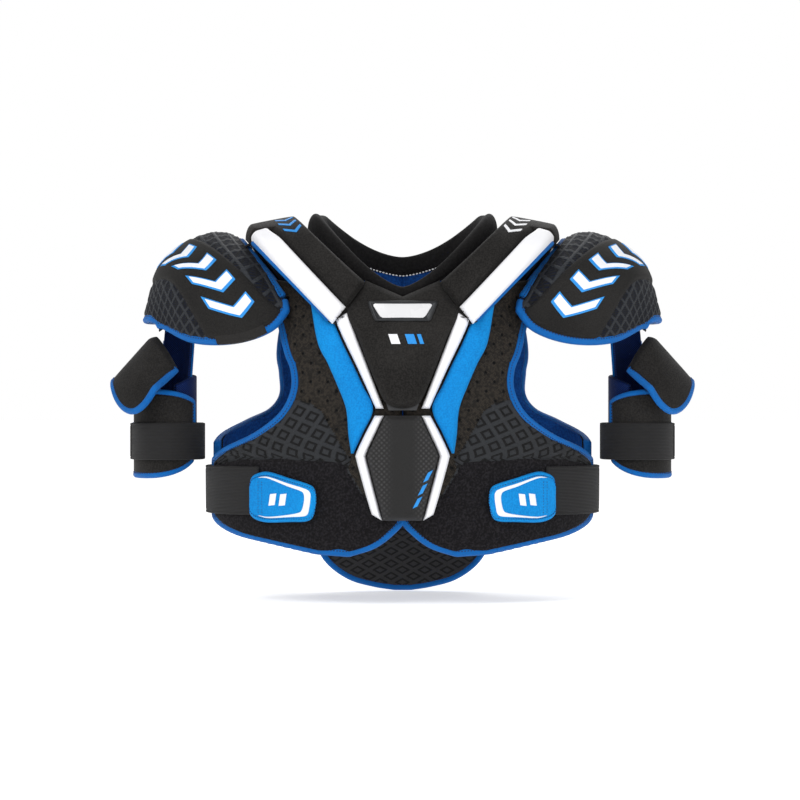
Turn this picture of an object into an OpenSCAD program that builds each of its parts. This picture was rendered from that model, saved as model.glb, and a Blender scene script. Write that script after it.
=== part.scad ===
// Hockey shoulder pads: a padded vest with a two-piece sternum guard, arch pads over the
// shoulders, a padded collar, hinged shoulder caps and hanging bicep guards.
// Origin: centre of the neck opening, at the height where the pads rest on the shoulders.
// +X is the wearer's left, -Y is the front, +Z is up.

/* [Vest] */
// Inner half width of the vest at the ribs
rib_half_w = 216; // [180:1:262]
// Inner half width of the vest between the arm holes
chest_half_w = 176; // [146:1:214]
// Inner depth from the middle to the breastbone
chest_depth = 132; // [110:1:160]
// Inner depth from the middle to the shoulder blades
back_depth = 124; // [104:1:150]
// Height of the front panels' hem below the shoulders
hem_drop = 373; // [345:1:450]
// Height of the arm hole's narrowest place below the shoulders
armhole_drop = 177; // [160:1:190]
// Half the width of the vest at the arm hole's narrowest place
armhole_x = 125; // [118:1:140]
// Thickness of the foam panels
panel_t = 12; // [8:0.5:15]
// Thickness of the inner lining
liner_t = 2; // [1:0.5:3]
// Air between layers that lie on each other
layer_gap = 0.8; // [0.6:0.1:1.2]

/* [Sternum guard] */
// Half width of the upper guard where it meets the arch pads
sternum_top_w = 63; // [53:1:74]
// Half width of the waist between the two guards
sternum_waist_w = 21; // [17:1:26]
// Half width of the lower guard at its widest
sternum_belly_w = 41; // [35:1:50]
// Half width of the lower guard at its foot
sternum_foot_w = 23; // [18:1:28]
// Thickness of the guards' foam
sternum_t = 18; // [14:0.5:22]
// Width of the white trim along the guards
trim_w = 12; // [9:0.5:14.5]
// Depth of the front neckline below the shoulders
neck_drop = 80; // [72:1:88]
// Height of the waist below the shoulders
waist_drop = 207; // [200:1:216]
// Height of the lower guard's foot below the shoulders
foot_drop = 336; // [300:1:342]
// Space between the upper and the lower guard
sternum_split = 8; // [7:0.5:12]
// Width of the badge on the upper guard
badge_w = 82; // [66:1:92]
// Width of the bright wings beside the guards
wing_w = 29; // [22:1:34]

/* [Arches and collar] */
// Distance from the middle to the arch pad's inner edge on top of the shoulder
arch_inner_x = 124; // [116:1:132]
// Width of an arch pad on top of the shoulder
arch_w = 64; // [53:1:72]
// Thickness of an arch pad
arch_t = 17; // [13:0.5:20]
// Air between the collar and the arch pads
collar_gap = 5; // [3:0.5:12]
// Thickness of the collar roll
collar_t = 15; // [11:0.5:17]
// Height of the collar above the shoulders at its sides
collar_rise = 31; // [24:1:38]

/* [Shoulder caps] */
// How far a cap reaches outwards past the middle of the arm
cap_over = 30; // [26:1:42]
// Depth of a cap from front to back
cap_depth = 208; // [196:1:250]
// Height of a cap
cap_h = 125; // [118:1:132]
// Thickness of a cap's cover
cap_t = 12; // [9:0.5:14]
// Thickness of the moulded plate inside a cap
cap_plate_t = 2.5; // [1.5:0.5:4]

/* [Arm guards] */
// Air between the rib strap and the elastic band round the arm
arm_gap = 4; // [3:0.5:16]
// Radius of the sleeve that the cuff makes around the arm
cuff_r = 28; // [24:1:29]
// Height of the cuff
cuff_h = 98; // [80:1:112]
// Height of the cuff's upper edge below the top of the bicep flap
cuff_below = 70; // [64:1:84]
// Thickness of the cuff and of the bicep flap
guard_t = 7; // [5.5:0.5:7.5]
// Height of the elastic band around the cuff
band_h = 44; // [36:1:52]
// Length of the bicep flap
flap_l = 96; // [80:1:98]

/* [Straps] */
// Width of the elastic rib strap
strap_w = 57; // [47:1:66]
// Thickness of elastic webbing
strap_t = 2.2; // [1.6:0.2:3]
// Height of the rib strap's middle above the hem
strap_rise = 70; // [52:1:76]
// Length of the hook tab on the rib strap
tab_l = 88; // [73:1:106]
// Diameter of the sewn edge binding
bind_d = 9; // [7:0.5:11]

/* [Hidden] */
SIDES = ["right", "left"];
ONE_OFF = ["front_liner", "back_liner", "spine_pad", "spine_blocks", "arch_plates", "collar",
    "sternum_upper", "sternum_upper_trim", "sternum_plate", "badge_frame", "badge_plate",
    "sternum_lower", "sternum_lower_trim", "tail_flap", "tail_binding"];
PAIRED = ["front_panel", "front_binding", "back_panel", "back_binding", "arch_pad", "arch_stripe",
    "chest_wing", "rib_strap_anchor", "rib_strap_end", "rib_tab", "cap_cover", "cap_plate",
    "cap_binding", "cap_webbing", "bicep_sling", "bicep_flap", "flap_binding", "bicep_cuff",
    "cuff_binding", "cuff_liner", "bicep_band", "bicep_tab"];

BLACK = "#1b1b1c";
GREY = "#2a2b2e";
BLUE = "#0f62c8";
SKY = "#1287dc";
NAVY = "#0d1c48";
WHITE = "#eeeef2";
STEEL = "#8b8e92";

// Layers on the torso, counted outwards from the wearer's body
panel_in = liner_t + layer_gap;
panel_out = panel_in + panel_t;
guard_in = panel_out + layer_gap;
guard_out = guard_in + sternum_t;
plate_t = 2; // moulded plates inside the guards and the arches
clear = 1.2; // air between pieces that move past each other
seam = 0.8; // width of the slit between two pieces that turn on a seam, as half of it

// ---------------------------------------------------------------- curves and solids
function lerp(a, b, t) = a + (b - a) * t;
function unit(v) = v / max(norm(v), 1e-9);
function clamp(x, lo, hi) = min(max(x, lo), hi);
function steps(n) = [for (i = [0:n]) i / n];
function flat_rim(t) = 1 - pow(abs(2 * t - 1), 6); // 1 over most of a pad, 0 at both of its rims

// A smooth curve through every point of a list, at t from 0 to 1
function curve(p, t) =
    let (n = len(p) - 1, k = min(floor(t * n), n - 1), f = t * n - k,
        p1 = p[k], p2 = p[k + 1],
        p0 = k > 0 ? p[k - 1] : 2 * p1 - p2,
        p3 = k < n - 1 ? p[k + 2] : 2 * p2 - p1)
    p1 + f / 2 * ((p2 - p0) + f * ((2 * p0 - 5 * p1 + 4 * p2 - p3) + f * (3 * (p1 - p2) + p3 - p0)));

// A smooth surface through a net of points, and its direction outwards
function net_point(net, u, v) = curve([for (row = net) curve(row, v)], u);
function net_normal(net, u, v, e = 0.01) =
    unit(cross(net_point(net, min(u + e, 1), v) - net_point(net, max(u - e, 0), v),
        net_point(net, u, min(v + e, 1)) - net_point(net, u, max(v - e, 0))));

// A closed solid between an outer and an inner grid of points
module shell(outer, inner) {
    rows = len(outer);
    cols = len(outer[0]);
    n = rows * cols;
    skin = [for (i = [0:rows - 2], j = [0:cols - 2]) let (a = i * cols + j, b = a + cols)
        each [[a, b, b + 1], [a, b + 1, a + 1]]];
    back = [for (f = skin) [f[0] + n, f[2] + n, f[1] + n]];
    edge = concat([for (j = [0:cols - 1]) j], [for (i = [1:rows - 1]) i * cols + cols - 1],
        [for (j = [cols - 2:-1:0]) (rows - 1) * cols + j], [for (i = [rows - 2:-1:1]) i * cols]);
    wall = [for (k = [0:len(edge) - 1]) let (a = edge[k], b = edge[(k + 1) % len(edge)])
        each [[a, b, b + n], [a, b + n, a + n]]];
    i = floor(rows / 2);
    j = floor(cols / 2);
    outward = cross(outer[i][j] - outer[i - 1][j], outer[i][j] - outer[i][j - 1])
        * (outer[i][j] - inner[i][j]);
    faces = concat(skin, back, wall);
    polyhedron(
        concat([for (row = outer) each row], [for (row = inner) each row]),
        outward > 0 ? [for (f = faces) [f[0], f[2], f[1]]] : faces);
}

// A round tube along a path; centre lies inside the path's bend and sets how the rings turn
module tube(path, d, centre, sides = 6) {
    n = len(path);
    rings = [for (k = [0:n - 1]) let (
            along = unit(path[min(k + 1, n - 1)] - path[max(k - 1, 0)]),
            out = unit(cross(along, cross(path[k] - centre, along))),
            side = cross(along, out))
        [for (s = [0:sides - 1]) let (a = 360 * s / sides) path[k] + d / 2 * (cos(a) * out + sin(a) * side)]];
    faces = concat(
        [for (k = [0:n - 2], s = [0:sides - 1]) let (a = k * sides + s, b = k * sides + (s + 1) % sides)
            each [[a, a + sides, b + sides], [a, b + sides, b]]],
        [[for (s = [0:sides - 1]) s]], [[for (s = [sides - 1:-1:0]) (n - 1) * sides + s]]);
    polyhedron([for (r = rings) each r], faces);
}

// ---------------------------------------------------------------- the torso that the vest fits
// Half width and half depth of the vest's inner face at height z
function torso_w(z) =
    let (t = clamp((-z - armhole_drop + 30) / 100, 0, 1))
    lerp(chest_half_w, rib_half_w, t * t * (3 - 2 * t));
function front_d(z) = let (h = z + 220) chest_depth - (h > 0 ? 0.0014 : 0.0003) * h * h;
function rear_d(z) = let (h = z + 160) back_depth - (h > 0 ? 0.0018 : 0.0002) * h * h;
// A point on the torso: a is the angle from the breastbone (0) round to the spine (180)
function torso(a, z, off) = [(torso_w(z) + off) * sin(a),
    -((a < 90 ? front_d(z) : rear_d(z)) + off) * cos(a), z];
// The angle at which the front, or the back, reaches x
function torso_angle(x, z, off, rear) =
    let (a = asin(clamp(x / (torso_w(z) + off), -0.992, 0.992))) rear ? 180 - a : a;
function torso_at(x, z, off, rear) = torso(torso_angle(x, z, off, rear), z, off);

// A point between two edges, each a list of [x, z], on the front or the back of the torso
function between(edge_a, edge_b, t, u, off, rear) =
    let (a = curve(edge_a, t), b = curve(edge_b, t))
    torso(lerp(torso_angle(a[0], a[1], off, rear), torso_angle(b[0], b[1], off, rear), u),
        lerp(a[1], b[1], u), off);

// A pad on the torso between two edges; puff crowns its outer face
module torso_pad(edge_a, edge_b, rows, cols, low, high, puff = 0, rear = false)
    shell([for (t = steps(rows)) [for (u = steps(cols))
            between(edge_a, edge_b, t, u, high + puff * flat_rim(t) * flat_rim(u), rear)]],
        [for (t = steps(rows)) [for (u = steps(cols)) between(edge_a, edge_b, t, u, low, rear)]]);
function flip(edge) = [for (p = edge) [-p[0], p[1]]];
module both_sides() for (s = [0, 1]) mirror([s, 0, 0]) children();

// ---------------------------------------------------------------- vest panels
rib_x = rib_half_w + panel_out - 2; // half width of the panels at the ribs
rib_top = armhole_drop + 96; // depth below the shoulders where the side of the ribs begins
inner_x = 8; // half of the gap between the two front panels
front_top = neck_drop + 2;
front_inner = [[inner_x, -front_top], [inner_x, -armhole_drop + 44], [inner_x, -armhole_drop + 13],
    [inner_x, -armhole_drop - 13], [inner_x, -armhole_drop - 38], [inner_x, -rib_top + 31],
    [inner_x, -rib_top + 11], [inner_x, -rib_top - 8], [inner_x, -rib_top - 34],
    [inner_x, -hem_drop + 40], [inner_x + 9, -hem_drop + 24], [inner_x + 26, -hem_drop + 11],
    [inner_x + 54, -hem_drop]];
front_outer = [[armhole_x + 20, -front_top], [armhole_x + 9, -armhole_drop + 44],
    [armhole_x + 1, -armhole_drop + 15], [armhole_x + 1, -armhole_drop - 11],
    [armhole_x + 15, -armhole_drop - 38], [armhole_x + 46, -rib_top + 34], [rib_x - 17, -rib_top + 14],
    [rib_x, -rib_top - 6], [rib_x, -rib_top - 34], [rib_x - 6, -hem_drop + 38],
    [rib_x - 33, -hem_drop + 22], [rib_x - 78, -hem_drop + 12], [inner_x + 88, -hem_drop + 1]];
rear_top = 44;
rear_inner = [[inner_x, -rear_top], [inner_x, -armhole_drop + 48], [inner_x, -armhole_drop + 14],
    [inner_x, -armhole_drop - 14], [inner_x, -armhole_drop - 34], [inner_x, -rib_top + 46],
    [inner_x, -rib_top + 24], [inner_x, -rib_top], [inner_x, -rib_top - 34],
    [inner_x, -hem_drop + 44], [inner_x, -hem_drop + 34], [inner_x, -hem_drop + 26]];
rear_x = armhole_x + 46 - 2 * panel_t; // thicker panels keep further in, clear of the caps
rear_outer = [[rear_x - 12, -rear_top], [rear_x + 2, -armhole_drop + 48],
    [rear_x, -armhole_drop + 14], [rear_x, -armhole_drop - 14],
    [armhole_x + 36, -armhole_drop - 34], [armhole_x + 64, -rib_top + 48], [rib_x - 10, -rib_top + 30],
    [rib_x, -rib_top + 4], [rib_x, -rib_top - 32], [rib_x - 7, -hem_drop + 40],
    [rib_x - 48, -hem_drop + 26], [rib_x - 122, -hem_drop + 18]];

module front_panel() color(GREY) torso_pad(front_inner, front_outer, 20, 8, panel_in, panel_out);
module back_panel() color(GREY) torso_pad(rear_inner, rear_outer, 18, 8, panel_in, panel_out, 0, true);
module front_liner() color(NAVY) both_sides() torso_pad(front_inner, front_outer, 20, 8, 0, liner_t);
module back_liner() color(NAVY) both_sides() torso_pad(rear_inner, rear_outer, 18, 8, 0, liner_t, 0, true);

// Binding sewn over the panels' free edges: arm hole, side, hem and the edge beside the guard
panel_mid = (panel_in + panel_out) / 2;
module front_binding() color(BLUE)
    tube(concat([for (t = [0.06:0.04:0.999]) between(front_inner, front_outer, t, 1, panel_mid, false)],
        [for (u = [1:-0.5:0]) between(front_inner, front_outer, 1, u, panel_mid, false)],
        [for (t = [0.97:-0.05:0.82]) between(front_inner, front_outer, t, 0, panel_mid, false)]),
        bind_d, torso(30, -armhole_drop - 90, panel_in));
module back_binding() color(BLUE)
    tube([for (t = [0.06:0.04:0.999]) between(rear_inner, rear_outer, t, 1, panel_mid, true)],
        bind_d, torso(150, -armhole_drop - 90, panel_in));

// ---------------------------------------------------------------- sternum guard
// Each guard is symmetrical, given by its left edge from top to bottom; drops lower its rows' middles
module guard(edge, drops, cols, low, high, puff = 0) {
    last = len(edge) - 1;
    us = [for (c = [0:cols]) 2 * c / cols - 1];
    function at(k, u, off) = torso_at(u * edge[k][0], edge[k][1] - drops[k] * (1 - abs(u)), off, false);
    shell([for (k = [0:last]) [for (u = us) at(k, u, high + puff * flat_rim(k / last) * flat_rim(u / 2 + 0.5))]],
        [for (k = [0:last]) [for (u = us) at(k, u, low)]]);
}
module strip(inner, outer, low, high)
    torso_pad(inner, outer, len(inner) - 1, 2, low, high);

shoulder_z = -neck_drop - 17; // height of the upper guard's widest place
upper_edge = concat([[sternum_top_w - 24, -neck_drop + 19], [sternum_top_w - 12, -neck_drop + 1]],
    [for (t = steps(4)) [lerp(sternum_top_w, sternum_waist_w, t), lerp(shoulder_z, -waist_drop, t)]]);
upper_drops = [19, 10, 4, 0, 0, 0, 0];
module sternum_upper() color(BLACK)
    guard(upper_edge, upper_drops, 8, guard_in + plate_t + layer_gap, guard_out - 3, 3);
module sternum_plate() color("white")
    guard([for (p = upper_edge) p - [5, 2]], upper_drops, 6, guard_in, guard_in + plate_t);

lower_top = waist_drop + sternum_split;
belly_drop = lerp(lower_top, foot_drop, 0.36);
lower_edge = concat([for (t = [0, 0.5]) lerp([sternum_waist_w, -lower_top], [sternum_belly_w, -belly_drop], t)],
    [[sternum_belly_w, -belly_drop]],
    [for (t = steps(4)) lerp([sternum_belly_w, -belly_drop - 7], [sternum_foot_w, -foot_drop], t)]);
module sternum_lower() color(BLACK)
    guard(lower_edge, [for (p = lower_edge) 0], 6, guard_in, guard_out - 4, 2);

// White trim along both edges of the guards, slanting up to the arch pads at its upper end
upper_trim_in = [for (k = [2:6]) upper_edge[k] + [0.5, k == 2 ? -3 : 0]];
upper_trim_out = [for (k = [0:4]) upper_trim_in[k]
    + [lerp(trim_w + 3, trim_w - 2.5, k / 4), -10 * pow(1 - k / 4, 2)]];
lower_trim_in = [for (p = lower_edge) p + [0.5, 0]];
lower_trim_out = [for (k = [0:7]) lower_trim_in[k] + [trim_w - (k == 0 ? 1.5 : 0), 7 * pow(k / 7, 4)]];
module sternum_upper_trim() color(WHITE)
    both_sides() strip(upper_trim_in, upper_trim_out, guard_in, guard_out - 6);
module sternum_lower_trim() color(WHITE)
    both_sides() strip(lower_trim_in, lower_trim_out, guard_in, guard_out - 6);

// Bright wings beside the trim, lying on the front panels
wing_shape = [0.9, 1, 1, 1.02, 1.08, 0.55, 0.1]; // width of the wing, as shares of wing_w
wing_inner = concat([for (k = [0:4]) upper_trim_out[k] + [3, k == 0 ? -3 : 0]],
    [for (k = [1, 2]) lower_trim_out[k] + [3, 0]]);
wing_outer = [for (k = [0:6]) wing_inner[k] + [wing_w * wing_shape[k], k == 0 ? 15 : 0]];
module chest_wing() color(SKY) strip(wing_inner, wing_outer, guard_in, guard_in + 7);

// Badge on the upper guard: a rim and a plain plate
badge_h = 25;
badge_mid = neck_drop + 14;
module badge(half_w, h, taper, low, high)
    guard([for (t = steps(3)) [half_w - taper * t, -badge_mid + h * (0.5 - t)]], [0, 0, 0, 0], 6, low, high);
module badge_frame() color(STEEL)
    badge(badge_w / 2, badge_h, 10, guard_out + layer_gap, guard_out + layer_gap + 1.5);
module badge_plate() color("white")
    badge(badge_w / 2 - 4, badge_h - 8, 8, guard_out + 2 * layer_gap + 1.5, guard_out + 2 * layer_gap + 2.5);

// ---------------------------------------------------------------- arch pads over the shoulders
arch_outer_x = arch_inner_x + arch_w;
arch_crest = [4, -8]; // height of the underside at the inner and the outer edge, on top of the shoulder
front_end = [[sternum_top_w - 17, -neck_drop + 22], [sternum_top_w + trim_w + 4, -neck_drop - 24]];
rear_end = [[62, -82], [116, -108]];
// A point on an arch: s runs from the front end (-1) over the shoulder (0) to the back end (1),
// w from the neck (0) to the arm (1), off is the height above the arch's underside
function arch(s, w, off) =
    let (end = s < 0 ? front_end : rear_end,
        foot = lerp(end[0], end[1], w),
        up = pow(cos(90 * s), 0.86),
        along = pow(abs(sin(90 * s)), 0.86),
        y = torso_at(foot[0], foot[1], guard_in + off, s > 0)[1])
    [lerp(foot[0], lerp(arch_inner_x, arch_outer_x, w), up), y * along,
        lerp(foot[1], lerp(arch_crest[0], arch_crest[1], w) + off, up)];
module arch_sheet(s0, s1, w0, w1, rows, cols, low, high, puff = 0)
    shell([for (t = steps(rows)) [for (u = steps(cols))
            arch(lerp(s0, s1, t), lerp(w0, w1, u), high + puff * flat_rim(t) * flat_rim(u))]],
        [for (t = steps(rows)) [for (u = steps(cols)) arch(lerp(s0, s1, t), lerp(w0, w1, u), low)]]);
arch_puff = 4;
stripe_low = arch_t + arch_puff + layer_gap;
module arch_pad() color(BLACK) arch_sheet(-1, 1, 0, 1, 22, 5, plate_t + layer_gap, arch_t, arch_puff);
module arch_stripe() color(WHITE) arch_sheet(-0.98, 0.1, 0.58, 0.98, 12, 3, stripe_low, stripe_low + 2);
module arch_plates() color("white") both_sides() arch_sheet(-0.8, 0.8, 0.1, 0.9, 14, 3, 0, plate_t);

// ---------------------------------------------------------------- collar
// A padded ring round the neck: a is 0 at the throat and 180 at the nape
collar_half_w = arch_inner_x - collar_gap - collar_t / 2;
collar_y = [-110, 100]; // where the ring passes the throat and the nape
collar_low = [-neck_drop + 17, -17]; // height of its upper edge there
collar_tall = [16, 24, 56]; // height of the roll at the throat, at the nape and at the sides
function collar_top(a) = let (x = abs(sin(a)))
    cos(a) > 0 ? lerp(collar_low[0], collar_rise, pow(x, 1.45))
        : lerp(collar_low[1], collar_rise, min(1, pow(x / 0.9, 2.2)));
function collar_h(a) = lerp(collar_tall[cos(a) > 0 ? 0 : 1], collar_tall[2], pow(abs(sin(a)), 2.4));
function collar_ring(a) =
    let (c = [collar_half_w * sin(a), abs(cos(a)) * collar_y[cos(a) > 0 ? 0 : 1], collar_top(a) - collar_h(a) / 2],
        out = [sin(a), -cos(a), 0])
    [for (k = [0:9]) let (b = 36 * k)
        c + collar_t / 2 * cos(b) * out + [0, 0, collar_h(a) / 2 * sign(sin(b)) * pow(abs(sin(b)), 0.8)]];
module collar() color(BLACK) {
    n = 48;
    rings = [for (k = [0:n - 1]) collar_ring(360 * k / n)];
    m = len(rings[0]);
    polyhedron([for (r = rings) each r],
        [for (k = [0:n - 1], j = [0:m - 1]) let (
                a = k * m + j, b = k * m + (j + 1) % m,
                c = ((k + 1) % n) * m + j, d = ((k + 1) % n) * m + (j + 1) % m)
            each [[a, d, c], [a, b, d]]]);
}

// ---------------------------------------------------------------- spine and tail
spine_t = 13;
spine_z = [-64, -hem_drop + 50];
spine_edge = [for (k = [0:4]) [[30, 46, 50, 44, 34][k], lerp(spine_z[0], spine_z[1], k / 4)]];
module spine_pad() color(BLACK)
    torso_pad(flip(spine_edge), spine_edge, 12, 6, guard_in, guard_in + spine_t, 0, true);
// Moulded blocks in a column on the spine pad
block_n = 4;
module spine_blocks() color(GREY)
    for (k = [0:block_n - 1]) {
        edge = [for (t = steps(3)) curve(spine_edge, (k + 0.1 + 0.8 * t) / block_n) - [15, 0]];
        torso_pad(flip(edge), edge, 3, 4, guard_in + spine_t + layer_gap,
            guard_in + spine_t + layer_gap + 5, 2, true);
    }

tail_w = 103;
tail_top = hem_drop - 42;
tail_drop = hem_drop + 56;
tail_edge = [[tail_w, -tail_top], [tail_w + 1, -hem_drop + 14], [tail_w - 2, -hem_drop - 8],
    [tail_w - 16, -hem_drop - 28], [tail_w - 40, -tail_drop + 12], [tail_w - 68, -tail_drop + 4], [10, -tail_drop]];
tail_t = 8;
function tail_at(t, u) = between(flip(tail_edge), tail_edge, t, u, guard_in + tail_t / 2, true);
module tail_flap() color(GREY)
    torso_pad(flip(tail_edge), tail_edge, 10, 8, guard_in, guard_in + tail_t, 0, true);
module tail_binding() color(BLUE)
    tube(concat([for (t = [0.3:0.06:0.999]) tail_at(t, 1)], [for (u = [1:-0.5:0]) tail_at(1, u)],
        [for (t = [0.96:-0.06:0.29]) tail_at(t, 0)]), bind_d, torso(180, -tail_top, guard_in));

// ---------------------------------------------------------------- rib straps
// One band sewn to the back, round the side, its end held on the front panel by the hook tab
strap_low = panel_out + 2;
strap_drop = hem_drop - strap_rise;
anchor_at = 128; // angle at which the band is sewn to the back
turn_at = 66; // angle at the side where the free end turns
tab_from = 50; // angle at which the tab begins
tab_span = 57.3 * tab_l / (0.9 * (rib_half_w + panel_out));
function degrees_of(mm) = 57.3 * mm / (rib_half_w + strap_low);
module band_sheet(a0, a1, cols, h0, h1, thick, sink = 0) {
    function at(u, v, off) = torso(lerp(a0, a1, u), -strap_drop - sink * u + lerp(h0, h1, u) * (v - 0.5), off);
    shell([for (v = steps(2)) [for (u = steps(cols)) at(u, v, strap_low + thick)]],
        [for (v = steps(2)) [for (u = steps(cols)) at(u, v, strap_low)]]);
}
module rib_strap_anchor() color(BLACK)
    band_sheet(anchor_at, turn_at + degrees_of(2 * seam), 14, strap_w, strap_w, strap_t);
module rib_strap_end() color(BLACK)
    band_sheet(turn_at - degrees_of(2 * seam), tab_from + degrees_of(seam), 8, strap_w, strap_w - 4, strap_t);
module rib_tab() color(BLUE)
    band_sheet(tab_from, tab_from - tab_span, 6, strap_w + 4, strap_w * 0.66, 5, 9);

// ---------------------------------------------------------------- the arm's layers
liner_r = cuff_r;
liner_pad = 4.5;
wrap_r = liner_r + liner_pad + 0.5; // inner radius of the outer cuff, clear of its lining
band_r = wrap_r + guard_t + layer_gap;
tab_extra = 1; // the band's tab is thicker than the band by this
arm_x = rib_half_w + strap_low + strap_t + arm_gap + band_r + strap_t + tab_extra - 0.5;
arm_oval = 1.35; // the sleeve is this much deeper, front to back, than it is wide

// ---------------------------------------------------------------- shoulder caps
// Shape of a cap as shares of its width, half depth and height, from the hinge point.
// Rows run from the front hem over the top to the rear hem, columns from the neck outwards.
cap_hinge = [arch_outer_x + clear + 3, 0, arch_crest[1] + arch_t / 2 - 2];
cap_reach = arm_x + cap_over - cap_hinge[0];
cap_inner_x = armhole_x + 9.5; // where the cap's inner corners end, clear of the panels
dome = 4 * cap_over; // width of the dome over an arm that hangs close to the vest
cap_inner_share = 0.48; // share at the inner corners, as in hem_row
cap_outer_share = 0.8; // from here out the dome keeps its shape
// Distance outwards from the hinge: shares below 0 reach in to the inner corners, and the outer end
// follows the arm.
function cap_x(share) = share < 0 ? share / cap_inner_share * (cap_hinge[0] - cap_inner_x)
    : share * dome + (cap_reach - dome) * min(share / cap_outer_share, 1);
hem_row = [[-cap_inner_share, 1.00, -0.66], [-0.31, 1.06, -0.88],
    [0.05, 1.00, -1.00], [0.48, 0.76, -0.99], [0.82, 0.40, -0.84]];
face_row = [[-0.28, 0.68, -0.33], [-0.06, 0.87, -0.32], [0.27, 0.85, -0.33], [0.66, 0.61, -0.43], [0.93, 0.26, -0.78]];
top_row = [[0.00, 0.00, 0.00], [0.24, 0.00, 0.06], [0.54, 0.00, -0.03], [0.84, 0.00, -0.29], [1.00, 0.00, -0.78]];
cap_net = [for (r = [[hem_row, -1], [face_row, -1], [top_row, 0], [face_row, 1], [hem_row, 1]])
    [for (p = r[0]) cap_hinge + [cap_x(p[0]), r[1] * p[1] * cap_depth / 2, p[2] * cap_h]]];
cap_core = cap_hinge + [0.4 * cap_reach, 0, -0.75 * cap_h];
function cap_out(u, v) = let (n = net_normal(cap_net, u, v)) n * sign(n * (net_point(cap_net, u, v) - cap_core));
function cap_at(u, v, depth) = net_point(cap_net, u, v) - depth * cap_out(u, v);
module cap_sheet(rows, cols, margin, high, low) {
    us = [for (t = steps(rows)) lerp(margin, 1 - margin, t)];
    vs = [for (t = steps(cols)) lerp(margin, 1 - margin, t)];
    shell([for (u = us) [for (v = vs) cap_at(u, v, high)]], [for (u = us) [for (v = vs) cap_at(u, v, low)]]);
}
module cap_cover() color(BLACK) cap_sheet(18, 10, 0, 0, cap_t);
module cap_plate() color("white")
    cap_sheet(12, 8, 0.08, cap_t + layer_gap, cap_t + layer_gap + cap_plate_t);
module cap_binding() color(BLUE)
    tube(concat([for (v = [0.02:0.14:0.99]) cap_at(0.01, v, cap_t / 2)],
        [for (u = [0.06:0.08:0.95]) cap_at(u, 1, cap_t / 2)],
        [for (v = [0.99:-0.14:0.02]) cap_at(0.99, v, cap_t / 2)]), bind_d, cap_core);
// Webbing under the arch that the cap hangs from
module cap_webbing() color(BLACK) arch_sheet(-0.12, 0.12, 0.3, 0.92, 4, 3, -1 - strap_t, -1);

// ---------------------------------------------------------------- arm guards
// A curved wall round the arm: the angle is 0 outwards, -90 at the front, 90 at the back, 180 inwards.
// top and bottom give its edges' heights across it; shift moves its rows outwards.
module arm_wall(a, cols, rows, top, bottom, r, thick, shift) {
    function at(t, u, off) = arm_point(lerp(a[0], a[1], u), lerp(top(u), bottom(u), t),
        lerp(r[0], r[1], t) + off, lerp(shift[0], shift[1], t));
    shell([for (t = steps(rows)) [for (u = steps(cols)) at(t, u, thick)]],
        [for (t = steps(rows)) [for (u = steps(cols)) at(t, u, 0)]]);
}
function arm_point(a, z, r, shift) = [arm_x + shift + r * cos(a), r * arm_oval * sin(a), z];

// Everything on the arm hangs from the cap's rim
rim_drop = -cap_hinge[2] + 0.84 * cap_h + bind_d / 2;
flap_top = rim_drop + 7;
cuff_drop = flap_top + cuff_below;
cuff_foot = cuff_drop + cuff_h;
band_mid = cuff_drop + 58;

cuff_span = [-146, 62];
function cuff_upper(u) = -cuff_drop - 16 * pow(abs(2 * u - 0.9), 3);
function cuff_lower(u) = -cuff_foot + 14 * pow(abs(2 * u - 1), 4);
module bicep_cuff() color(BLACK)
    arm_wall(cuff_span, 16, 5, function(u) cuff_upper(u), function(u) cuff_lower(u), [wrap_r, wrap_r], guard_t, [0, 0]);
function cuff_edge(u, t) = arm_point(lerp(cuff_span[0], cuff_span[1], u), t == 0 ? cuff_upper(u) : cuff_lower(u),
    wrap_r + guard_t / 2, 0);
module cuff_binding() color(BLUE)
    for (t = [0, 1])
        tube([for (u = [0:0.0625:1]) cuff_edge(u, t)], bind_d - 1, [arm_x, 0, -(cuff_drop + cuff_foot) / 2]);
module cuff_liner() color(NAVY)
    arm_wall([46, 246], 14, 3, function(u) -cuff_drop + 16 - 10 * pow(2 * u - 1, 2), function(u) -cuff_foot + 22,
        [liner_r, liner_r], liner_pad, [0, 0]);
// Elastic band round the cuff; its tab closes it on the outer side
tab_turn = -12; // angle at which the tab turns
tab_reach = 50; // angle that the tab covers
tab_slit = 57.3 * seam / band_r;
module bicep_band() color(BLACK)
    arm_wall([tab_turn - 302, tab_turn - tab_slit], 26, 1, function(u) -band_mid + band_h / 2,
        function(u) -band_mid - band_h / 2, [band_r, band_r], strap_t, [0, 0]);
module bicep_tab() color(BLACK)
    arm_wall([tab_turn + tab_slit, tab_turn + tab_reach], 7, 1, function(u) -band_mid + band_h / 2 * (1 - 0.25 * u * u),
        function(u) -band_mid - band_h / 2 * (1 - 0.25 * u * u), [band_r, band_r], strap_t + tab_extra, [0, 0]);

// Sling: the lined tongue that hangs inside the cap and carries the cuff
sling_t = 2.4;
sling_r = liner_r - sling_t - 2;
module bicep_sling() color(NAVY)
    arm_wall([58, 196], 10, 6, function(u) -flap_top + 14, function(u) -cuff_drop - 30,
        [sling_r - 2, sling_r], sling_t, [-7, 1.5]);

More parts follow.
